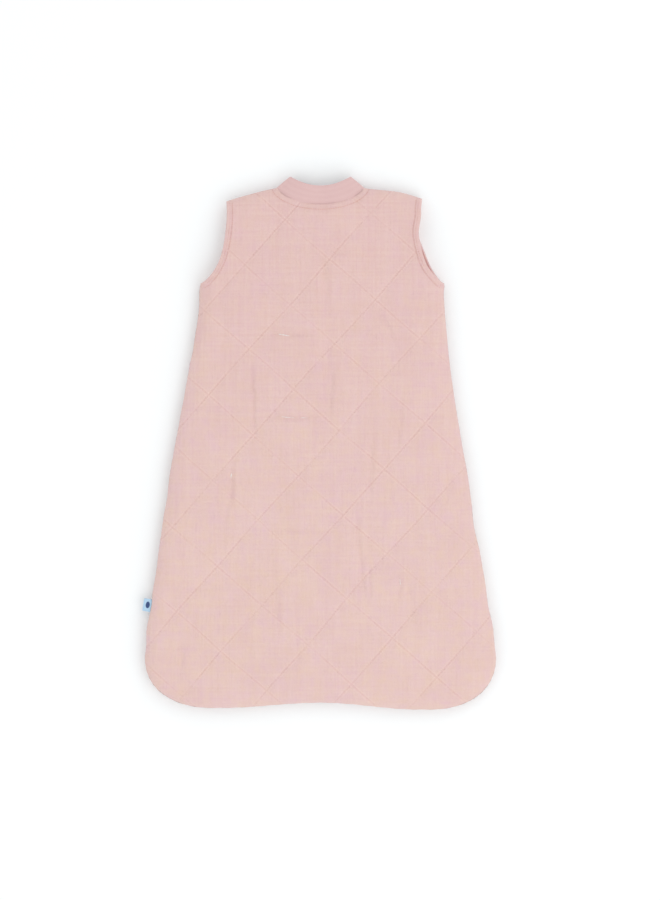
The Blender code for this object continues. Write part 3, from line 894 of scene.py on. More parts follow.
def finish_piece(piece, paint, slot, body, *nodes):
    """Gives a piece its finish and hides the nodes it replaces; a piece of the bag rides its body's empty,
    a side piece has its place baked into its mesh. The slot is not used.
    """
    piece.data.materials.append(paint)
    if nodes:
        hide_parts(*nodes)
    if body in ("left", "right"):
        return bends(piece, body)
    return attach(piece, body)


# ---------------------------------------------------------------- the quilted panels

def pressed(place, part):
    """How much further the wadding is pressed down under the quilting stitches."""
    (one, _), (two, _) = quilt_offsets(place[..., 0], place[..., 1], part)
    return PRESSED * bell(np.minimum(np.abs(one), np.abs(two)), PRESSED_WIDE) + WADDING_ROOM


def back_panel(paints):
    """The back's three layers, each its own surfaces of height over the plan grid."""
    edges = back_edges()
    area = area_of(outline_of(edges))
    place = patch(edges, BACK_GRIDS[0])
    face = outer_height(place, "back")
    outer = layer("back_outer_muslin", place, face - CLOTH, face, "back")
    finish_piece(outer, paints["muslin"], "muslin_outer", "bag", "back_outer")
    place = patch(edges, BACK_GRIDS[1])
    fields = panel_fields(place, "back")
    lining_low = lining_height(place, "back", fields)
    pad_high = outer_height(place, "back", fields) - CLOTH - LAYER_GAP - pressed(place, "back")
    pad_low = np.minimum(lining_low + CLOTH + LAYER_GAP, pad_high - WADDING_THIN)
    pad = layer("back_wadding_layer", place, pad_low, pad_high)
    finish_piece(pad, paints["wadding"], "wadding", "bag", "back_wadding")
    place = patch(edges, BACK_GRIDS[2])
    lining_low = lining_height(place, "back")
    lining = layer("back_lining_muslin", place, lining_low, lining_low + CLOTH)
    finish_piece(lining, paints["lining"], "muslin_lining", "bag", "back_lining")
    area * 0.98
    return outline_of(edges)


def front_place(sign, zip_edge, grid):
    """The plan grid of one front; the left one is turned back to its own side."""
    place = patch(front_edges(zip_edge, sign), grid)
    return place if sign > 0 else place[:, ::-1] * np.array([-1.0, 1.0])


def front_panel(side_name, paints):
    """One front's three layers, the wadding thinner where the lapel bends."""
    sign = SIDES[side_name]
    area = area_of(outline_of(front_edges(ZIP_EDGE, sign)))
    place = front_place(sign, ZIP_EDGE, FRONT_GRIDS[0])
    face = outer_height(place, "front")
    outer = layer("front_outer_muslin_" + side_name, place, face, face + CLOTH, "front")
    nodes = ["front_outer_" + side_name, "lapel_outer_" + side_name]
    finish_piece(outer, paints["muslin"], "muslin_outer", side_name, *nodes)
    pad_name = "front_wadding_layer_" + side_name
    place = front_place(sign, WADDING_ZIP_EDGE, FRONT_GRIDS[1])
    fields = panel_fields(place, "front")
    pad_low = outer_height(place, "front", fields) + CLOTH + LAYER_GAP + pressed(place, "front")
    pad_high = lining_height(place, "front", fields) - CLOTH - LAYER_GAP - bend_give(place)
    pad = layer(pad_name, place, np.minimum(pad_low, pad_high - WADDING_THIN), pad_high)
    nodes = ["front_wadding_" + side_name, "lapel_wadding_" + side_name]
    finish_piece(pad, paints["wadding"], "wadding", side_name, *nodes)
    place = front_place(sign, LINING_ZIP_EDGE, FRONT_GRIDS[2])
    lining_high = lining_height(place, "front")
    lining = layer("front_lining_muslin_" + side_name, place, lining_high - CLOTH, lining_high)
    nodes = ["front_lining_" + side_name, "lapel_lining_" + side_name]
    finish_piece(lining, paints["lining"], "muslin_lining", side_name, *nodes)
    area * 0.97


# ---------------------------------------------------------------- seams, bindings and collar

def strip_rings(line, z, section):
    """Rings of a section (inward distance, height) carried along a plan line, inward to its left."""
    plan = line[:, None, :] + left_of(line)[:, None, :] * section[..., :1]
    height = np.broadcast_to(z, len(line))[:, None] + section[..., 1]
    return np.dstack([plan, height])


def even(line, step):
    """The line's points about a step apart."""
    return spread(line, np.linspace(0, 1, max(8, int(lengths(line)[-1] / step))))


def seam_strip(name, line, paint, node):
    """The bound-off edges inside a seam: a flat strip with the ridges of its overlock thread."""
    line = even(line, SEAM_STEP)
    turn = np.linspace(0, 2 * np.pi, SEAM_AROUND, endpoint=False)
    wide = SEAM_HALF[0] * squarish(np.cos(turn), SEAM_SQUARE[0])
    tall = SEAM_HALF[1] * squarish(np.sin(turn), SEAM_SQUARE[1])
    ridge = 1 + SEAM_RIDGE * np.cos(2 * np.pi * lengths(line) / SEAM_THREAD)
    section = rolls(SEAM_IN + wide, ridge[:, None] * tall)
    made = tube(name, strip_rings(line, MIDDLE, section))
    return finish_piece(made, paint, "seam_allowance", "bag", node)


def seams(paints):
    """A strip for each seam. The left ones run down, so that inward stays to their left."""
    rows = (
        ("side_seam_right", side_line(1), SIDE_SHARES),
        ("side_seam_left", side_line(-1), SIDE_SHARES),
        ("hem_seam", hem_line(), HEM_SHARES),
        ("shoulder_seam_right", shoulder_line(1), SHOULDER_SHARES),
        ("shoulder_seam_left", shoulder_line(-1), SHOULDER_SHARES),
    )
    for node, line, ends in rows:
        line = spread(line, np.linspace(*ends, SEAM_POINTS))
        name = node.replace("_seam", "_seam_edges")
        seam_strip(name, line[::-1] if node.endswith("left") else line, paints["lining"], node)


def binding(side_name, part, paints):
    """A strip of muslin folded over the armhole's edge, from one face of the panel to the other. Its
    section's reach inwards is a power of the way round the fold, and its height a quarter round. The
    inner skin follows the outer one a little inside it, and both are kept above the floor."""
    sign = SIDES[side_name]
    line = even(arm_edge(sign, part), BINDING_STEP)
    if sign < 0:
        line = line[::-1]
    share = lengths(line) / lengths(line)[-1]
    inner = beside(line, BINDING_INNER)
    fields = panel_fields(inner, part)
    high = outer_height(inner, part, fields)
    low = lining_height(inner, part, fields)
    middle = (high + low) / 2
    half = np.abs(high - low) / 2 + BINDING_PROUD
    fold = np.linspace(-1, 1, FOLD_POINTS)
    reach = BINDING_WIDE * np.abs(fold) ** FOLD_POWER
    round_off = np.sign(fold) * round_edge(np.abs(fold) * BINDING_WIDE / FOLD_ROUND)
    soft = 1 + FOLD_SOFT * ripple(share * BINDING_RUN * MM, share * 0, *BINDING_RIPPLE)
    outer = rolls(reach, (half * soft)[:, None] * round_off + FOLD_SKIN * fold)
    skin = rolls(reach + FOLD_SKIN * (1 - np.abs(fold)), half[:, None] * round_off * FOLD_INNER)
    section = np.concatenate([outer, skin[:, ::-1]], axis=1)
    rings = strip_rings(line, 0.0, section)
    rings[..., 2] += middle[:, None]
    for skin_rings, least in (
        (rings[:, :FOLD_POINTS, 2], FLOOR_Z + BINDING_CLEAR),
        (rings[:, FOLD_POINTS:, 2], BINDING_CLEAR_INNER),
    ):
        np.maximum(skin_rings, least, out=skin_rings)
    spot = rolls(lengths(line)[:, None], np.concatenate([fold, fold[::-1]])[None])
    made = tube(f"armhole_binding_{part}_muslin_{side_name}", rings, BINDING_SHARP, spot)
    node = f"armhole_binding_{part}_{side_name}"
    # The front bindings take the finish with the painted shadow on the lining side of their fold
    paint = paints["facing" if part == "back" else "shadowed_inner_facing"]
    return finish_piece(made, paint, "muslin_outer", "bag", node)


def collar_path():
    """The neck seam and the collar's top edge, all the way round from the left of the zip."""
    back = even(back_neck(), COLLAR_STEP)
    share = np.abs(back[:, 0]) / NECK_X
    top_x = COLLAR_LEAN * back[:, 0]
    top_mid = NECK_Y - BACK_SCOOP + COLLAR_HIGH
    rise = TOP - COLLAR_BELOW_TOP - top_mid
    top_y = top_mid + rise * (np.abs(top_x) / (COLLAR_LEAN * NECK_X)) ** COLLAR_CURVE
    smoothed = np.polyfit(back[:, 0], outer_height(back, "back"), COLLAR_SMOOTHED)
    back_z = np.polyval(smoothed, back[:, 0]) - COLLAR_UNDER
    side_z = MIDDLE + COLLAR_SIDE_RISE
    back_z = np.where(share > COLLAR_AT_SIDE, side_z, np.maximum(back_z, side_z))
    front = even(front_neck(), COLLAR_STEP)[::-1]
    front_z = MIDDLE - (MIDDLE - COLLAR_FRONT_Z) * round_edge(lengths(front) / COLLAR_FRONT_ROLL)
    end = np.array([top_x[-1], top_y[-1]])
    low_end = front[-1] + np.array([-COLLAR_FRONT_IN, COLLAR_FRONT_HIGH])
    front_top = sweep(end, COLLAR_PULLS[0], low_end, COLLAR_PULLS[1])
    front_top = spread(front_top, lengths(front) / lengths(front)[-1])
    seam = np.concatenate([np.column_stack([back, back_z]), np.column_stack([front, front_z])[1:]])
    top = np.concatenate(
        [np.column_stack([top_x, top_y, back_z]), np.column_stack([front_top, front_z])[1:]]
    )
    middle = len(back) // 2
    return seam[middle:], top[middle:], len(back) - middle


def collar(paints):
    """The rib-knit band, folded double: a rounded flat section that stands up from the neck seam."""
    seam, top, at_side = collar_path()
    run = lengths((seam + top) / 2)
    side_run = run[at_side] + COLLAR_SIDE_PAST

    def band(name, start, end, mirror, body, nodes):
        """The length of band between two distances from the middle of the back."""
        along = np.linspace(start, end, max(COLLAR_LEAST, int(abs(end - start) / COLLAR_RUN_STEP)))
        grow = np.abs(along)
        low = np.stack([np.interp(grow, run, column) for column in seam.T], axis=1)
        high = np.stack([np.interp(grow, run, column) for column in top.T], axis=1)
        flip = np.where(along < 0, -1.0, 1.0) * (-1.0 if mirror else 1.0)
        low[:, 0] *= flip
        high[:, 0] *= flip
        up = high - low
        low = low - COLLAR_TUCK * up / np.linalg.norm(up, axis=1)[:, None]
        up = high - low
        path = np.gradient((low + high) / 2, axis=0)
        out = np.cross(path, up) * (1.0 if not mirror else -1.0)
        out = unit(out, TINY)
        turn = np.linspace(0, 2 * np.pi, COLLAR_AROUND, endpoint=False)
        rise = 0.5 - 0.5 * squarish(np.cos(turn), COLLAR_RISE_POWER)
        thick = COLLAR_THICK / 2 * squarish(np.sin(turn), COLLAR_THICK_POWER)
        rib = 1 + COLLAR_RIB * np.cos(2 * np.pi * grow / COLLAR_RIB_STEP)
        swell = 1 + COLLAR_SWELL * ripple(grow, grow * 0, *COLLAR_RIPPLE)
        offset = (rib * swell)[:, None] * thick[None]
        rings = low[:, None, :] + up[:, None, :] * rise[None, :, None]
        rings = rings + out[:, None, :] * offset[..., None]
        spot = rolls(grow[:, None], (rise * COLLAR_HIGH)[None])
        made = tube(name, rings, 0, spot)
        return finish_piece(made, paints["rib"], "rib_knit", body, *nodes)

    nodes = ["collar_back", "collar_side_left", "collar_side_right"]
    band("collar_band_back", -side_run, side_run, False, "bag", nodes)
    for side_name in SIDES:
        start = side_run + COLLAR_GAP
        nodes = ["collar_front_" + side_name]
        band("collar_band_front_" + side_name, start, run[-1], side_name == "left", side_name, nodes)


# ---------------------------------------------------------------- stitching

def stitch_mesh(name, spots, along, long, thick):
    """Many small stitches as one mesh, each a spindle of twelve faces lying along the line."""
    turn = np.arange(4) * np.pi / 2
    ring = np.stack([np.cos(turn), np.sin(turn)], axis=1)
    rings = [(at, a, b) for at in STITCH_BELLY for a, b in ring]
    shape = np.array([(-0.5, 0, 0), *rings, (0.5, 0, 0)])
    faces = []
    for k in range(4):
        after = (k + 1) % 4
        faces.append((0, 1 + after, 1 + k, 1 + k))
        faces.append((1 + k, 1 + after, 5 + after, 5 + k))
        faces.append((5 + k, 5 + after, 9, 9))
    faces = np.array(faces)
    along = unit(along)
    level = unit(np.cross([0.0, 0.0, 1.0], along), TINY)
    up = np.cross(along, level)
    spots = np.column_stack([spots[:, :2], np.maximum(spots[:, 2], FLOOR_Z + thick)])
    points = spots[:, None, :] + long * shape[None, :, :1] * along[:, None, :]
    round_it = shape[None, :, 1:2] * level[:, None, :] + shape[None, :, 2:] * up[:, None, :]
    points = points + thick * round_it
    count = len(spots)
    every = faces[None] + len(shape) * np.arange(count)[:, None, None]
    return solid(name, points.reshape(-1, 3), every.reshape(-1, 4))


def along_line(line, height, pitch):
    """Places and directions of stitches along a plan line, on the surface whose height is given."""
    spots = even(line, pitch)
    z = height(spots)
    solid_line = np.column_stack([spots, z])
    return solid_line, np.gradient(solid_line, axis=0)


def quilt_lines(part, outline):
    """Every quilting stitch: walk each line of each set, step off its wander, keep what is inside."""
    sign = 1.0 if part == "back" else -1.0
    places, directions = [], []
    for turn, step, seed in zip(QUILT_TURNS, QUILT_STEPS, QUILT_SEEDS):
        normal = np.array([-math.sin(turn), math.cos(turn)])
        forward = np.array([math.cos(turn), math.sin(turn)])
        t = np.arange(-QUILT_REACH, QUILT_REACH, STITCH_PITCH)
        for k in QUILT_LINES:
            spots = QUILT_AT + t[:, None] * forward + k * step * normal
            for _ in range(QUILT_ROUNDS):
                wander = QUILT_WANDER * ripple(sign * spots[:, 0], spots[:, 1], *WANDER_STEPS, seed)
                across = (spots - QUILT_AT) @ normal + wander - k * step
                spots = spots - across[:, None] * normal
            spots = spots * np.array([sign, 1.0])
            places.append(spots)
            directions.append(np.broadcast_to(forward * np.array([sign, 1.0]), spots.shape))
    places, directions = np.concatenate(places), np.concatenate(directions)
    near = (np.abs(places[:, 0]) < HEM_X) & (places[:, 1] > FOOT) & (places[:, 1] < TOP)
    places, directions = places[near], directions[near]
    kept = inside(places, outline)
    places, directions = places[kept], directions[kept]
    seam, free = panel_fields(places, part)
    clear = (seam > QUILT_CLEAR) & (free > BINDING_WIDE + MM)
    return places[clear], directions[clear]


def raised(places, directions, part, out):
    """Plan places set on the panel's face, with directions that follow its slope."""
    ahead = places + directions * MM
    z, z_ahead = outer_height(places, part), outer_height(ahead, part)
    return np.column_stack([places, z + out]), np.column_stack([directions * MM, z_ahead - z])


def stitching(paints, outline):
    """The quilting of all three panels, and the topstitches of the neck, the zip and the armholes."""
    places, directions = quilt_lines("back", outline)
    spots, along = raised(places, directions, "back", -QUILT_SINK["back"])
    made = stitch_mesh("back_quilting_stitches", spots, along, STITCH_LONG, STITCH_THICK)
    finish_piece(made, paints["thread"], "muslin_outer", "bag")
    for side_name, sign in reversed(SIDES.items()):
        front = outline_of(front_edges(ZIP_EDGE, sign))
        places, directions = quilt_lines("front", front if sign > 0 else other_side(front))
        spots, along = raised(places, directions, "front", -QUILT_SINK["front"])
        made = stitch_mesh("front_quilting_stitches_" + side_name, spots, along, STITCH_LONG, STITCH_THICK)
        finish_piece(made, paints["thread"], "muslin_outer", side_name)
        topstitch_zip(side_name, paints)
    pitch, long, thick = NECK_TOPSTITCH
    neck = spread(beside(back_neck(), -NECK_STITCH), np.linspace(*NECK_TOPSTITCH_SHARES, TOPSTITCH_POINTS))
    spots, along = along_line(neck, lambda p: outer_height(p, "back") + NECK_TOPSTITCH_PROUD, pitch)
    made = stitch_mesh("neck_topstitch", spots, along, long, thick)
    finish_piece(made, paints["topstitch"], "muslin_outer", "bag")
    for side_name, sign in reversed(SIDES.items()):
        for part in ("back", "front"):
            topstitch_armhole(side_name, sign, part, paints)


def topstitch_armhole(side_name, sign, part, paints):
    """Rows of stitches beside an armhole, through the binding and through the muslin next to it."""
    pitch, long, thick = ARM_TOPSTITCH
    rows = []
    for inward, above in ARM_TOPSTITCH_ROWS:
        line = beside(arm_edge(sign, part), sign * inward)
        line = spread(line, np.linspace(*ARM_TOPSTITCH_SHARES, TOPSTITCH_POINTS))
        shift = above if part == "back" else -above - ARM_TOPSTITCH_SINK
        rows.append(along_line(line, lambda p: outer_height(p, part) + shift, pitch))
    spots, along = (np.concatenate(column) for column in zip(*rows))
    made = stitch_mesh(f"armhole_topstitch_{part}_{side_name}", spots, along, long, thick)
    finish_piece(made, paints["topstitch"], "muslin_outer", "bag")


def topstitch_zip(side_name, paints):
    """A straight row of stitches beside the zip, on the outer face of the front."""
    pitch, long, thick = ZIP_TOPSTITCH
    foot_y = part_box("bottom_stop")[0][1]
    y = np.linspace(foot_y, front_neck()[0, 1] - ZIP_TOPSTITCH_BELOW, ZIP_TOPSTITCH_POINTS)
    line = np.stack([np.full_like(y, SIDES[side_name] * (ZIP_EDGE + ZIP_TOPSTITCH_IN)), y], axis=1)
    spots, along = along_line(line, lambda p: outer_height(p, "front") - ZIP_TOPSTITCH_SINK, pitch)
    made = stitch_mesh("zip_topstitch_" + side_name, spots, along, long, thick)
    finish_piece(made, paints["thread"], "muslin_outer", side_name)


# ---------------------------------------------------------------- the zip

def zip_tape(side_name, paints):
    """A woven tape: flat under the muslin, its inner edge stepping up behind the coil."""
    sign = SIDES[side_name]
    low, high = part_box("zip_tape_right")
    x = TAPE_IN + (high[0] - TAPE_IN) * packed(*TAPE_ACROSS)
    y = np.linspace(low[1], high[1], TAPE_POINTS)
    grid_x, grid_y = np.meshgrid(x, y)
    step = TAPE_STEP * smooth((TAPE_STEP_X - grid_x) / TAPE_STEP_WIDE)
    wave = TAPE_WAVE * np.sin(2 * np.pi * grid_y / TAPE_WAVE_STEP) * (grid_x < TAPE_STEP_X)
    z = low[2] + step + wave
    place = np.dstack([sign * grid_x, grid_y])
    if sign < 0:
        place, z = place[:, ::-1], z[:, ::-1]
    made = layer("zip_tape_woven_" + side_name, place, z, z + TAPE_THICK)
    return finish_piece(made, paints["tape"], "zip_tape", side_name, "zip_tape_" + side_name)


def coil(side_name, paints):
    """Half the zip's coil: a wire wound on a flattened helix, one turn to each tooth."""
    sign = SIDES[side_name]
    low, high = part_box("zip_coil_right")
    turns = int((high[1] - low[1]) / COIL_PITCH)
    phase = np.linspace(0, 2 * np.pi * turns, turns * COIL_POINTS + 1)
    half_x, half_z = (high[0] - low[0]) / 2 + COIL_WIDER, (high[2] - low[2]) / 2 - COIL_FLATTER
    lean = COIL_LEAN * COIL_PITCH * np.sin(phase)
    path = np.stack(
        [
            sign * ((low[0] + high[0]) / 2 + half_x * np.cos(phase)),
            low[1] + COIL_PITCH * (phase / (2 * np.pi) + (0 if sign > 0 else 0.5)) + lean,
            COIL_Z + half_z * np.sin(phase),
        ],
        axis=1,
    )
    along = unit(np.gradient(path, axis=0))
    side_way = unit(np.cross(along, [0.0, 1.0, 0.0]))
    up = np.cross(side_way, along)
    turn = np.linspace(0, 2 * np.pi, COIL_AROUND, endpoint=False)
    ring = np.cos(turn)[None, :, None] * side_way[:, None] + np.sin(turn)[None, :, None] * up[:, None]
    made = tube("zip_coil_wound_" + side_name, path[:, None] + COIL_WIRE * ring, 0)
    return finish_piece(made, paints["coil"], "zip_coil", side_name, "zip_coil_" + side_name)


# ---------------------------------------------------------------- labels

def side_label(paints):
    """A satin ribbon folded in a loop and caught in the side seam, its fold standing clear of it. Its
    path is two nearly straight runs joined by a half circle, and its section a thin flat strip, turned
    a little from level in plan."""
    (_, low_y, _), (_, high_y, _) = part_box("side_label")
    middle_y = (low_y + high_y) / 2
    seam = side_line(-1)
    edge_x = np.interp(middle_y, seam[:, 1], seam[:, 0])
    fold_r = LABEL_FOLD
    root, tip = LABEL_ROOT, LABEL_OUT - fold_r
    t = np.linspace(0, 1, LABEL_RUN_POINTS)
    droop = LABEL_DROOP * t**2
    over = np.stack([root + (tip - root) * t, fold_r + LABEL_BOW * np.sin(np.pi * t) - droop], axis=1)
    turn = np.linspace(np.pi / 2, -np.pi / 2, LABEL_TURN_POINTS)
    fold = np.stack([tip + fold_r * np.cos(turn), fold_r * np.sin(turn) - droop[-1]], axis=1)
    under = np.stack([tip + (root - tip) * t, -fold_r - droop[::-1]], axis=1)
    path = spread(np.concatenate([over, fold[1:-1], under]), np.linspace(0, 1, LABEL_POINTS))
    normal = left_of(path)
    wide = np.linspace(-1, 1, LABEL_ACROSS) * LABEL_WIDE / 2
    across = np.concatenate([wide, wide[::-1]])
    thick = LABEL_THICK * np.repeat([1.0, -1.0], LABEL_ACROSS)
    out = path[:, :1] + normal[:, :1] * thick
    height = path[:, 1:] + normal[:, 1:] * thick + LABEL_CUP * np.cos(np.pi * across / LABEL_WIDE)
    rings = np.empty((len(path), len(across), 3))
    rings[..., 0] = edge_x - math.cos(LABEL_TURN) * out - math.sin(LABEL_TURN) * across
    rings[..., 1] = middle_y - math.sin(LABEL_TURN) * out + math.cos(LABEL_TURN) * across
    rings[..., 2] = MIDDLE + height
    spot = rolls(lengths(path)[:, None], across[None])
    made = tube("side_label_ribbon", rings, LABEL_SHARP, spot)
    return finish_piece(made, paints["ribbon"], "side_label_satin", "bag", "side_label")


def inner_label(name, node, paint, part="back"):
    """A woven label lying under the lining, its free edge curling a little away."""
    (low_x, low_y, _), (high_x, high_y, _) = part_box(node)
    across, up = (packed(*counts) for counts in INNER_LABEL_GRID)
    x, y = low_x + (high_x - low_x) * across, low_y + (high_y - low_y) * up
    grid_x, grid_y = np.meshgrid(x, y)
    place = np.dstack([grid_x, grid_y])
    hang = INNER_LABEL_GAP + INNER_LABEL_CURL * ((high_y - grid_y) / (high_y - low_y)) ** 2
    top = lining_height(place, part) - hang
    made = layer(name, place, top - INNER_LABEL_THICK, top)
    return finish_piece(made, paint, "neck_label_satin", "bag", node)


# ---------------------------------------------------------------- finishes

class Field:
    """A number that varies over a surface; arithmetic on it adds the Math nodes it needs."""

    def __init__(self, finish, socket):
        self.finish, self.socket = finish, socket

    def math(self, operation, *others, clamp=False):
        """One Math node on this number and the others."""
        settings = {"operation": operation, "use_clamp": clamp}
        node = self.finish.add("ShaderNodeMath", settings, self, *others)
        return Field(self.finish, node.outputs[0])

    def __add__(self, other):
        return self.math("ADD", other)

    __radd__ = __add__

    def __mul__(self, other):
        return self.math("MULTIPLY", other)

    __rmul__ = __mul__

    def __sub__(self, other):
        return self.math("SUBTRACT", other)

    def __rsub__(self, other):
        return (self * -1.0) + other

    def __truediv__(self, other):
        return self.math("DIVIDE", other)

    def sine(self):
        """Of the number in radians."""
        return self.math("SINE")

    def size(self):
        """Without its sign."""
        return self.math("ABSOLUTE")

    def between(self, low, high):
        """0 below low, 1 above high, straight between them."""
        return ((self - low) / (high - low)).math("ADD", 0.0, clamp=True)


class Finish:
    """A material and the nodes that make it."""

    def __init__(self, name, **constants):
        self.material = bpy.data.materials.new(name)
        self.material.use_nodes = True
        self.tree = self.material.node_tree
        self.shader = next(n for n in self.tree.nodes if n.type == "BSDF_PRINCIPLED")
        for key, value in constants.items():
            self.shader.inputs[key.replace("_", " ")].default_value = value

    def add(self, kind, settings, *values):
        """A node of this kind: its settings first, then its sockets in order."""
        node = self.tree.nodes.new(kind)
        for key, value in settings.items():
            setattr(node, key, value)
        for socket, value in zip(node.inputs, values):
            self.put(socket, value)
        return node

    def put(self, socket, value):
        """Links a socket to a field or another socket, or sets its constant."""
        if isinstance(value, Field):
            self.tree.links.new(value.socket, socket)
        elif isinstance(value, bpy.types.NodeSocket):
            self.tree.links.new(value, socket)
        elif value is not None:
            socket.default_value = value

    def place(self, uv=False):
        """Object coordinates, or the piece's own UV map, as a vector socket."""
        node = self.add("ShaderNodeTexCoord", {})
        return node.outputs["UV" if uv else "Object"]

    def split(self, vector):
        """The vector's three numbers."""
        node = self.add("ShaderNodeSeparateXYZ", {}, vector)
        return tuple(Field(self, out) for out in node.outputs)

    def stretch(self, vector, scale, turn=0.0):
        """The vector scaled along each axis and turned about Z."""
        node = self.add("ShaderNodeMapping", {})
        self.put(node.inputs["Vector"], vector)
        node.inputs["Scale"].default_value = scale
        node.inputs["Rotation"].default_value = (0.0, 0.0, turn)
        return node.outputs[0]

    def noise(self, vector, scale, detail=2.0, rough=0.5):
        """Smooth noise from 0 to 1."""
        node = self.add("ShaderNodeTexNoise", {})
        self.put(node.inputs["Vector"], vector)
        node.inputs["Scale"].default_value = scale
        node.inputs["Detail"].default_value = detail
        node.inputs["Roughness"].default_value = rough
        return Field(self, node.outputs[0])

    def mix(self, share, one, two):
        """A colour part of the way from one to two."""
        node = self.add("ShaderNodeMix", {"data_type": "RGBA"})
        self.put(node.inputs[0], share)
        self.put(node.inputs[6], one if isinstance(one, bpy.types.NodeSocket) else (*one, 1.0))
        self.put(node.inputs[7], two if isinstance(two, bpy.types.NodeSocket) else (*two, 1.0))
        return node.outputs[2]

    def coat(self, colour, roughness=None, height=None, depth=0.0):
        """Feeds the shader: a colour, a roughness, and a height in metres times depth as bump."""
        self.put(self.shader.inputs["Base Color"], colour)
        self.put(self.shader.inputs["Roughness"], roughness)
        if height is not None:
            bump = self.add("ShaderNodeBump", {})
            bump.inputs["Strength"].default_value = 1.0
            bump.inputs["Distance"].default_value = depth
            self.put(bump.inputs["Height"], height)
            self.put(self.shader.inputs["Normal"], bump.outputs["Normal"])
        return self.material


def weave(x, y, pitch):
    """Plain weave: ridges of warp and weft that pass over each other, from 0 to 1."""
    warp, weft = (x * (2 * math.pi / pitch)).sine(), (y * (2 * math.pi / pitch)).sine()
    return (warp * weft) * 0.25 + (warp.size() + weft.size()) * 0.25 + 0.25


def muslin(name, light, deep, top_painted_shade, quilted_cloth=False, inner=None):
    """Washed cotton muslin: uneven dye in patches drawn out along both threads, slubs, and a crinkled
    open weave, its colour pulled towards a top tone near the collar, which on the outer muslin is painted
    shade. Its height is two drawn-out noises plus the weave and the slubs. On quilted cloth each stitched
    line is a narrow groove with painted shade along it and a painted highlight beside it, and with sine
    puckers that die away from it. Given an inner colour, the lining side of a fold gets painted shadow."""
    f = Finish(name, Roughness=0.9, Sheen_Weight=0.2, Sheen_Roughness=0.6, Specular_IOR_Level=0.2)
    at = f.place()
    x, y, _ = f.split(at)
    cloud = f.noise(at, 13.0, 3.0, 0.55).between(0.34, 0.66)
    up_patch = f.noise(f.stretch(at, (62.0, 17.0, 30.0)), 1.0, 3.0, 0.55).between(0.34, 0.66)
    over_patch = f.noise(f.stretch(at, (17.0, 62.0, 30.0)), 1.0, 3.0, 0.55).between(0.34, 0.66)
    slub_up = f.noise(f.stretch(at, (430.0, 17.0, 60.0)), 1.0, 2.0).between(0.3, 0.7)
    slub_over = f.noise(f.stretch(at, (17.0, 430.0, 60.0)), 1.0, 2.0).between(0.3, 0.7)
    fine = f.noise(at, 420.0, 2.0, 0.6)
    small = f.noise(at, 75.0, 3.0, 0.6).between(0.36, 0.64)
    base = f.mix(cloud * 0.10 + up_patch * 0.30 + over_patch * 0.24 + small * 0.36, light, deep)
    # Painted shade: the cloth darkens towards the collar, from y = -0.10 m to 0.28 m
    base = f.mix(y.between(-0.10, 0.28) * 0.45, base, top_painted_shade)
    base = f.mix((slub_up + slub_over) * 0.27 + fine * 0.14, base, MUSLIN_SLUB)
    shade = f.noise(f.stretch(at, (34.0, 20.0, 30.0)), 1.0, 3.0, 0.6).between(0.36, 0.64)
    base = f.mix(shade * 0.16, base, MUSLIN_SHADE)
    # Painted shadow: given an inner colour, the lining side of a binding's fold is coloured deeper, where
    # the back's edge shades it
    if inner:
        _, fold, _ = f.split(f.place(uv=True))
        base = f.mix(fold.between(0.32, 0.50) * 0.85, base, inner)
    crinkle = f.noise(f.stretch(at, (250.0, 95.0, 160.0)), 1.0, 3.0, 0.6)
    cross = f.noise(f.stretch(at, (80.0, 260.0, 160.0)), 1.0, 2.0, 0.5)
    thread = weave(x, y, WEAVE_PITCH)
    height = crinkle * 1.0 + cross * 0.6 + thread * 0.13 + (slub_up + slub_over) * 0.15
    if quilted_cloth:
        u, v, _ = f.split(f.add("ShaderNodeUVMap", {"uv_map": "Quilt"}).outputs[0])
        off_u = ((u + 0.5).math("FRACT") - 0.5).size() * QUILT_STEPS[0]
        off_v = ((v + 0.5).math("FRACT") - 0.5).size() * QUILT_STEPS[1]
        shown = 0.35 + f.noise(at, 21.0, 2.0).between(0.38, 0.6) * 0.65
        # Painted shade along each stitched line: a narrow darker, pinker band where the groove is
        groove_shade_u, groove_shade_v = (1.0 - off.between(0.25 * MM, 1.15 * MM) for off in (off_u, off_v))
        line = (groove_shade_u * shown).math("MAXIMUM", groove_shade_v * shown * QUILT_FAINT)
        base = f.mix(line * 0.24, base, MUSLIN_GROOVE_PAINTED_SHADE)
        # Painted highlight: a lighter band on both sides of each stitched line
        lit_u, lit_v = (
            off.between(0.9 * MM, 1.8 * MM) * (1.0 - off.between(1.8 * MM, 3.4 * MM))
            for off in (off_u, off_v)
        )
        base = f.mix((lit_u + lit_v * QUILT_FAINT) * shown * 0.30, base, MUSLIN_PAINTED_HIGHLIGHT)
        wobble = crinkle * 5.0
        sets = (off_u, v * QUILT_STEPS[1], 0.28), (off_v, u * QUILT_STEPS[0], 0.12)
        for off, along, depth in sets:
            ripples = (along * (2 * math.pi / (5.2 * MM)) + wobble).sine()
            height = height + ripples * (off * (-1 / (3.2 * MM))).math("EXPONENT") * depth
        height = height - line * 0.25
    return f.coat(base, 0.86 + fine * 0.1, height, 1.05 * MM)


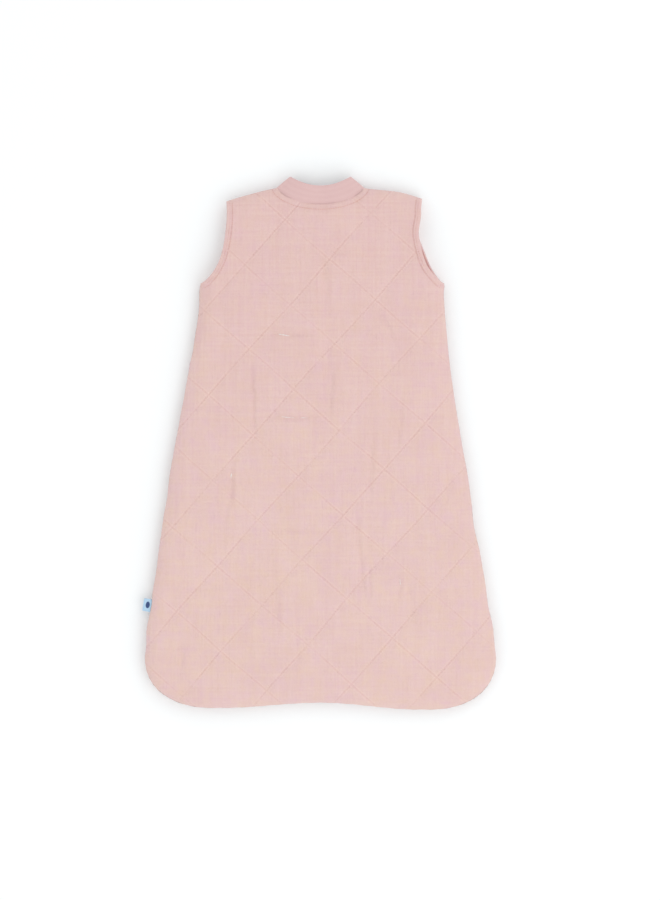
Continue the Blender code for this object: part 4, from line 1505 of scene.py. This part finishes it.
def rib_knit(name, light, deep):
    """Fine rib: lines of knitting across the band, with the small V of each stitch between them."""
    f = Finish(name, Sheen_Weight=0.3, Sheen_Roughness=0.6, Specular_IOR_Level=0.2)
    u, v, _ = f.split(f.place(uv=True))
    rib = (u * (2 * math.pi / (1.8 * MM))).sine()
    stitch = (v * (2 * math.pi / (1.3 * MM)) + rib.size() * 1.6).sine()
    cloud = f.noise(f.place(), 60.0, 3.0)
    roll = (v * (2 * math.pi / (6.4 * MM)) + cloud * 2.0).sine()
    share = rib * 0.04 + stitch * 0.04 + roll * 0.22 + cloud * 0.9
    height = rib * 0.12 + stitch * 0.15 + roll * 0.5 + cloud * 0.4
    return f.coat(f.mix(share, deep, light), 0.9, height, 0.22 * MM)


def fibre(name, light, deep):
    """Wadding: a mat of fine curled fibre."""
    f = Finish(name, Roughness=0.95, Sheen_Weight=0.4, Specular_IOR_Level=0.1)
    at = f.place()
    fluff = f.noise(at, 90.0, 5.0, 0.7)
    strand = f.noise(f.stretch(at, (420.0, 60.0, 300.0), 0.5), 1.0, 4.0, 0.7)
    colour = f.mix(fluff * 0.6 + strand * 0.4, light, deep)
    return f.coat(colour, 0.95, fluff + strand * 0.6, 1.2 * MM)


def plain(name, light, deep, roughness, scale=300.0, depth=0.1 * MM, **constants):
    """A close, even finish with a faint grain."""
    f = Finish(name, **constants)
    grain = f.noise(f.place(), scale, 3.0, 0.6)
    return f.coat(f.mix(grain, light, deep), roughness + grain * 0.08, grain, depth)


def twill_tape(name, light, deep):
    """Zip tape: a close herringbone weave."""
    f = Finish(name, Roughness=0.85, Sheen_Weight=0.2, Specular_IOR_Level=0.25)
    x, y, _ = f.split(f.place())
    zigzag = (x * (math.pi / (2.2 * MM))).sine().size()
    chevron = (zigzag * 1.5 + y * (2 * math.pi / (0.8 * MM))).sine()
    grain = f.noise(f.place(), 700.0, 2.0)
    return f.coat(f.mix(chevron * 0.2 + grain * 0.5 + 0.1, light, deep), 0.85, chevron + grain, 0.12 * MM)


def ribbon(name, light, deep, mark):
    """Satin ribbon with a plain woven oval in a darker thread."""
    f = Finish(name, Roughness=0.5, Sheen_Weight=0.15)
    u, v, _ = f.split(f.place(uv=True))
    thread = (v * (2 * math.pi / (0.5 * MM))).sine()
    ground = f.mix(thread * 0.25 + 0.4, light, deep)
    across, along = (u - MARK_AT[0]) / MARK_HALF[0], (v - MARK_AT[1]) / MARK_HALF[1]
    reach = across * across + along * along
    inside_mark = 1.0 - reach.between(0.85, 1.15)
    return f.coat(f.mix(inside_mark, ground, mark), 0.42 + thread * 0.05, thread, 0.05 * MM)


def striped_label(name, light, stripe):
    """White woven label with one plain coloured stripe."""
    f = Finish(name, Roughness=0.6)
    x, y, _ = f.split(f.place(uv=True))
    thread = (x * (2 * math.pi / (0.5 * MM))).sine()
    band = ((y * (2 * math.pi / (12 * MM))).sine()).between(0.90, 0.96)
    return f.coat(f.mix(band, light, stripe), 0.6, thread, 0.05 * MM)


def make_paints():
    """Every finish of the bag, by the name that its makers give it."""
    return {
        "muslin": muslin("pink_muslin", MUSLIN_LIGHT, MUSLIN_DEEP, MUSLIN_TOP_PAINTED_SHADE, True),
        "facing": muslin("pink_muslin_binding", MUSLIN_LIGHT, MUSLIN_DEEP, MUSLIN_TOP_PAINTED_SHADE),
        "shadowed_inner_facing": muslin(
            "inner_binding_painted_shadow", MUSLIN_LIGHT, MUSLIN_DEEP, MUSLIN_TOP_PAINTED_SHADE, inner=INNER_BINDING_PAINTED_SHADOW
        ),
        "lining": muslin("muslin_lining", LINING_LIGHT, LINING_DEEP, LINING_LIGHT),
        "wadding": fibre("wadding_fibre", (0.86, 0.85, 0.82), (0.72, 0.70, 0.67)),
        "rib": rib_knit("rib_knit_band", RIB_LIGHT, RIB_DEEP),
        "tape": twill_tape("zip_tape_twill", (0.72, 0.46, 0.42), (0.62, 0.37, 0.34)),
        "coil": plain("zip_coil_nylon", (0.70, 0.44, 0.41), (0.64, 0.38, 0.35), 0.35, Coat_Weight=0.2),
        "thread": plain("quilting_thread", THREAD_LIGHT, THREAD_DEEP, 0.8, 900.0, 0.05 * MM),
        "topstitch": plain("topstitch_thread", TOPSTITCH_LIGHT, TOPSTITCH_DEEP, 0.8, 900.0, 0.05 * MM),
        "metal": plain(
            "painted_zip_metal", (0.66, 0.42, 0.39), (0.62, 0.38, 0.35), 0.32, 500.0, 0.03 * MM,
            Coat_Weight=0.4,
        ),
        "ribbon": ribbon("satin_ribbon", (0.52, 0.72, 0.88), (0.36, 0.58, 0.80), (0.02, 0.06, 0.20)),
        "label": striped_label("woven_label", (0.86, 0.85, 0.83), (0.62, 0.40, 0.38)),
    }


def paint_node(node, paint):
    """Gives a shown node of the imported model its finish."""
    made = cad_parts[node]
    made.data.materials.clear()
    made.data.materials.append(paint)


# ---------------------------------------------------------------- the room

def area_light(name, at, size, power):
    """A square white lamp that looks at the middle of the bag."""
    lamp = bpy.data.lights.new(name, "AREA")
    lamp.shape = "SQUARE"
    lamp.size = size
    lamp.energy = power
    made = in_scene(name, lamp)
    made.location = at
    aim = -mathutils.Vector(at)
    made.rotation_euler = aim.to_track_quat("-Z", "Y").to_euler()


def room():
    """A pale floor, a bright even sky, a broad lamp and a low one on the right, and the camera overhead."""
    floor_mesh = bpy.data.meshes.new("floor")
    r = FLOOR_HALF
    corners = [(-r, -r, FLOOR_Z), (r, -r, FLOOR_Z), (r, r, FLOOR_Z), (-r, r, FLOOR_Z)]
    floor_mesh.from_pydata(corners, [], [(0, 1, 2, 3)])
    floor = in_scene("floor", floor_mesh)
    floor_mesh.materials.append(plain("floor_paper", FLOOR_TONE, FLOOR_TONE, 0.9, 20.0, 0.01 * MM))
    world = bpy.data.worlds.new("sky")
    world.use_nodes = True
    sky = next(n for n in world.node_tree.nodes if n.type == "BACKGROUND")
    sky.inputs["Color"].default_value = (1.0, 1.0, 1.0, 1.0)
    sky.inputs["Strength"].default_value = SKY
    scene = bpy.context.scene
    scene.world = world
    scene.view_settings.view_transform = "Standard"
    for name, at, size, power in LAMPS:
        area_light(name, at, size, power)
    lens = bpy.data.cameras.new("camera")
    lens.lens = LENS
    lens.sensor_width = SENSOR
    lens.sensor_fit = "VERTICAL"
    lens.sensor_height = SENSOR
    lens.clip_end = SEES_TO
    camera = in_scene("camera", lens)
    camera.location = (*CAMERA_OVER, CAMERA_HIGH)
    scene.camera = camera


# ---------------------------------------------------------------- everything

def build():
    """Makes every piece, then the room. The order is the order in the model's table."""
    paints = make_paints()
    outline = back_panel(paints)
    for side_name in ("left", "right"):
        front_panel(side_name, paints)
        zip_tape(side_name, paints)
        coil(side_name, paints)
        for part in ("back", "front"):
            binding(side_name, part, paints)
        paint_node("top_stop_" + side_name, paints["metal"])
    seams(paints)
    collar(paints)
    stitching(paints, outline)
    side_label(paints)
    inner_label("size_label_woven", "size_label", paints["label"])
    inner_label("care_label_woven", "care_label", paints["label"])
    for node in ("bottom_stop", "zip_slider", "pull_tab"):
        paint_node(node, paints["metal"])
    room()


build()
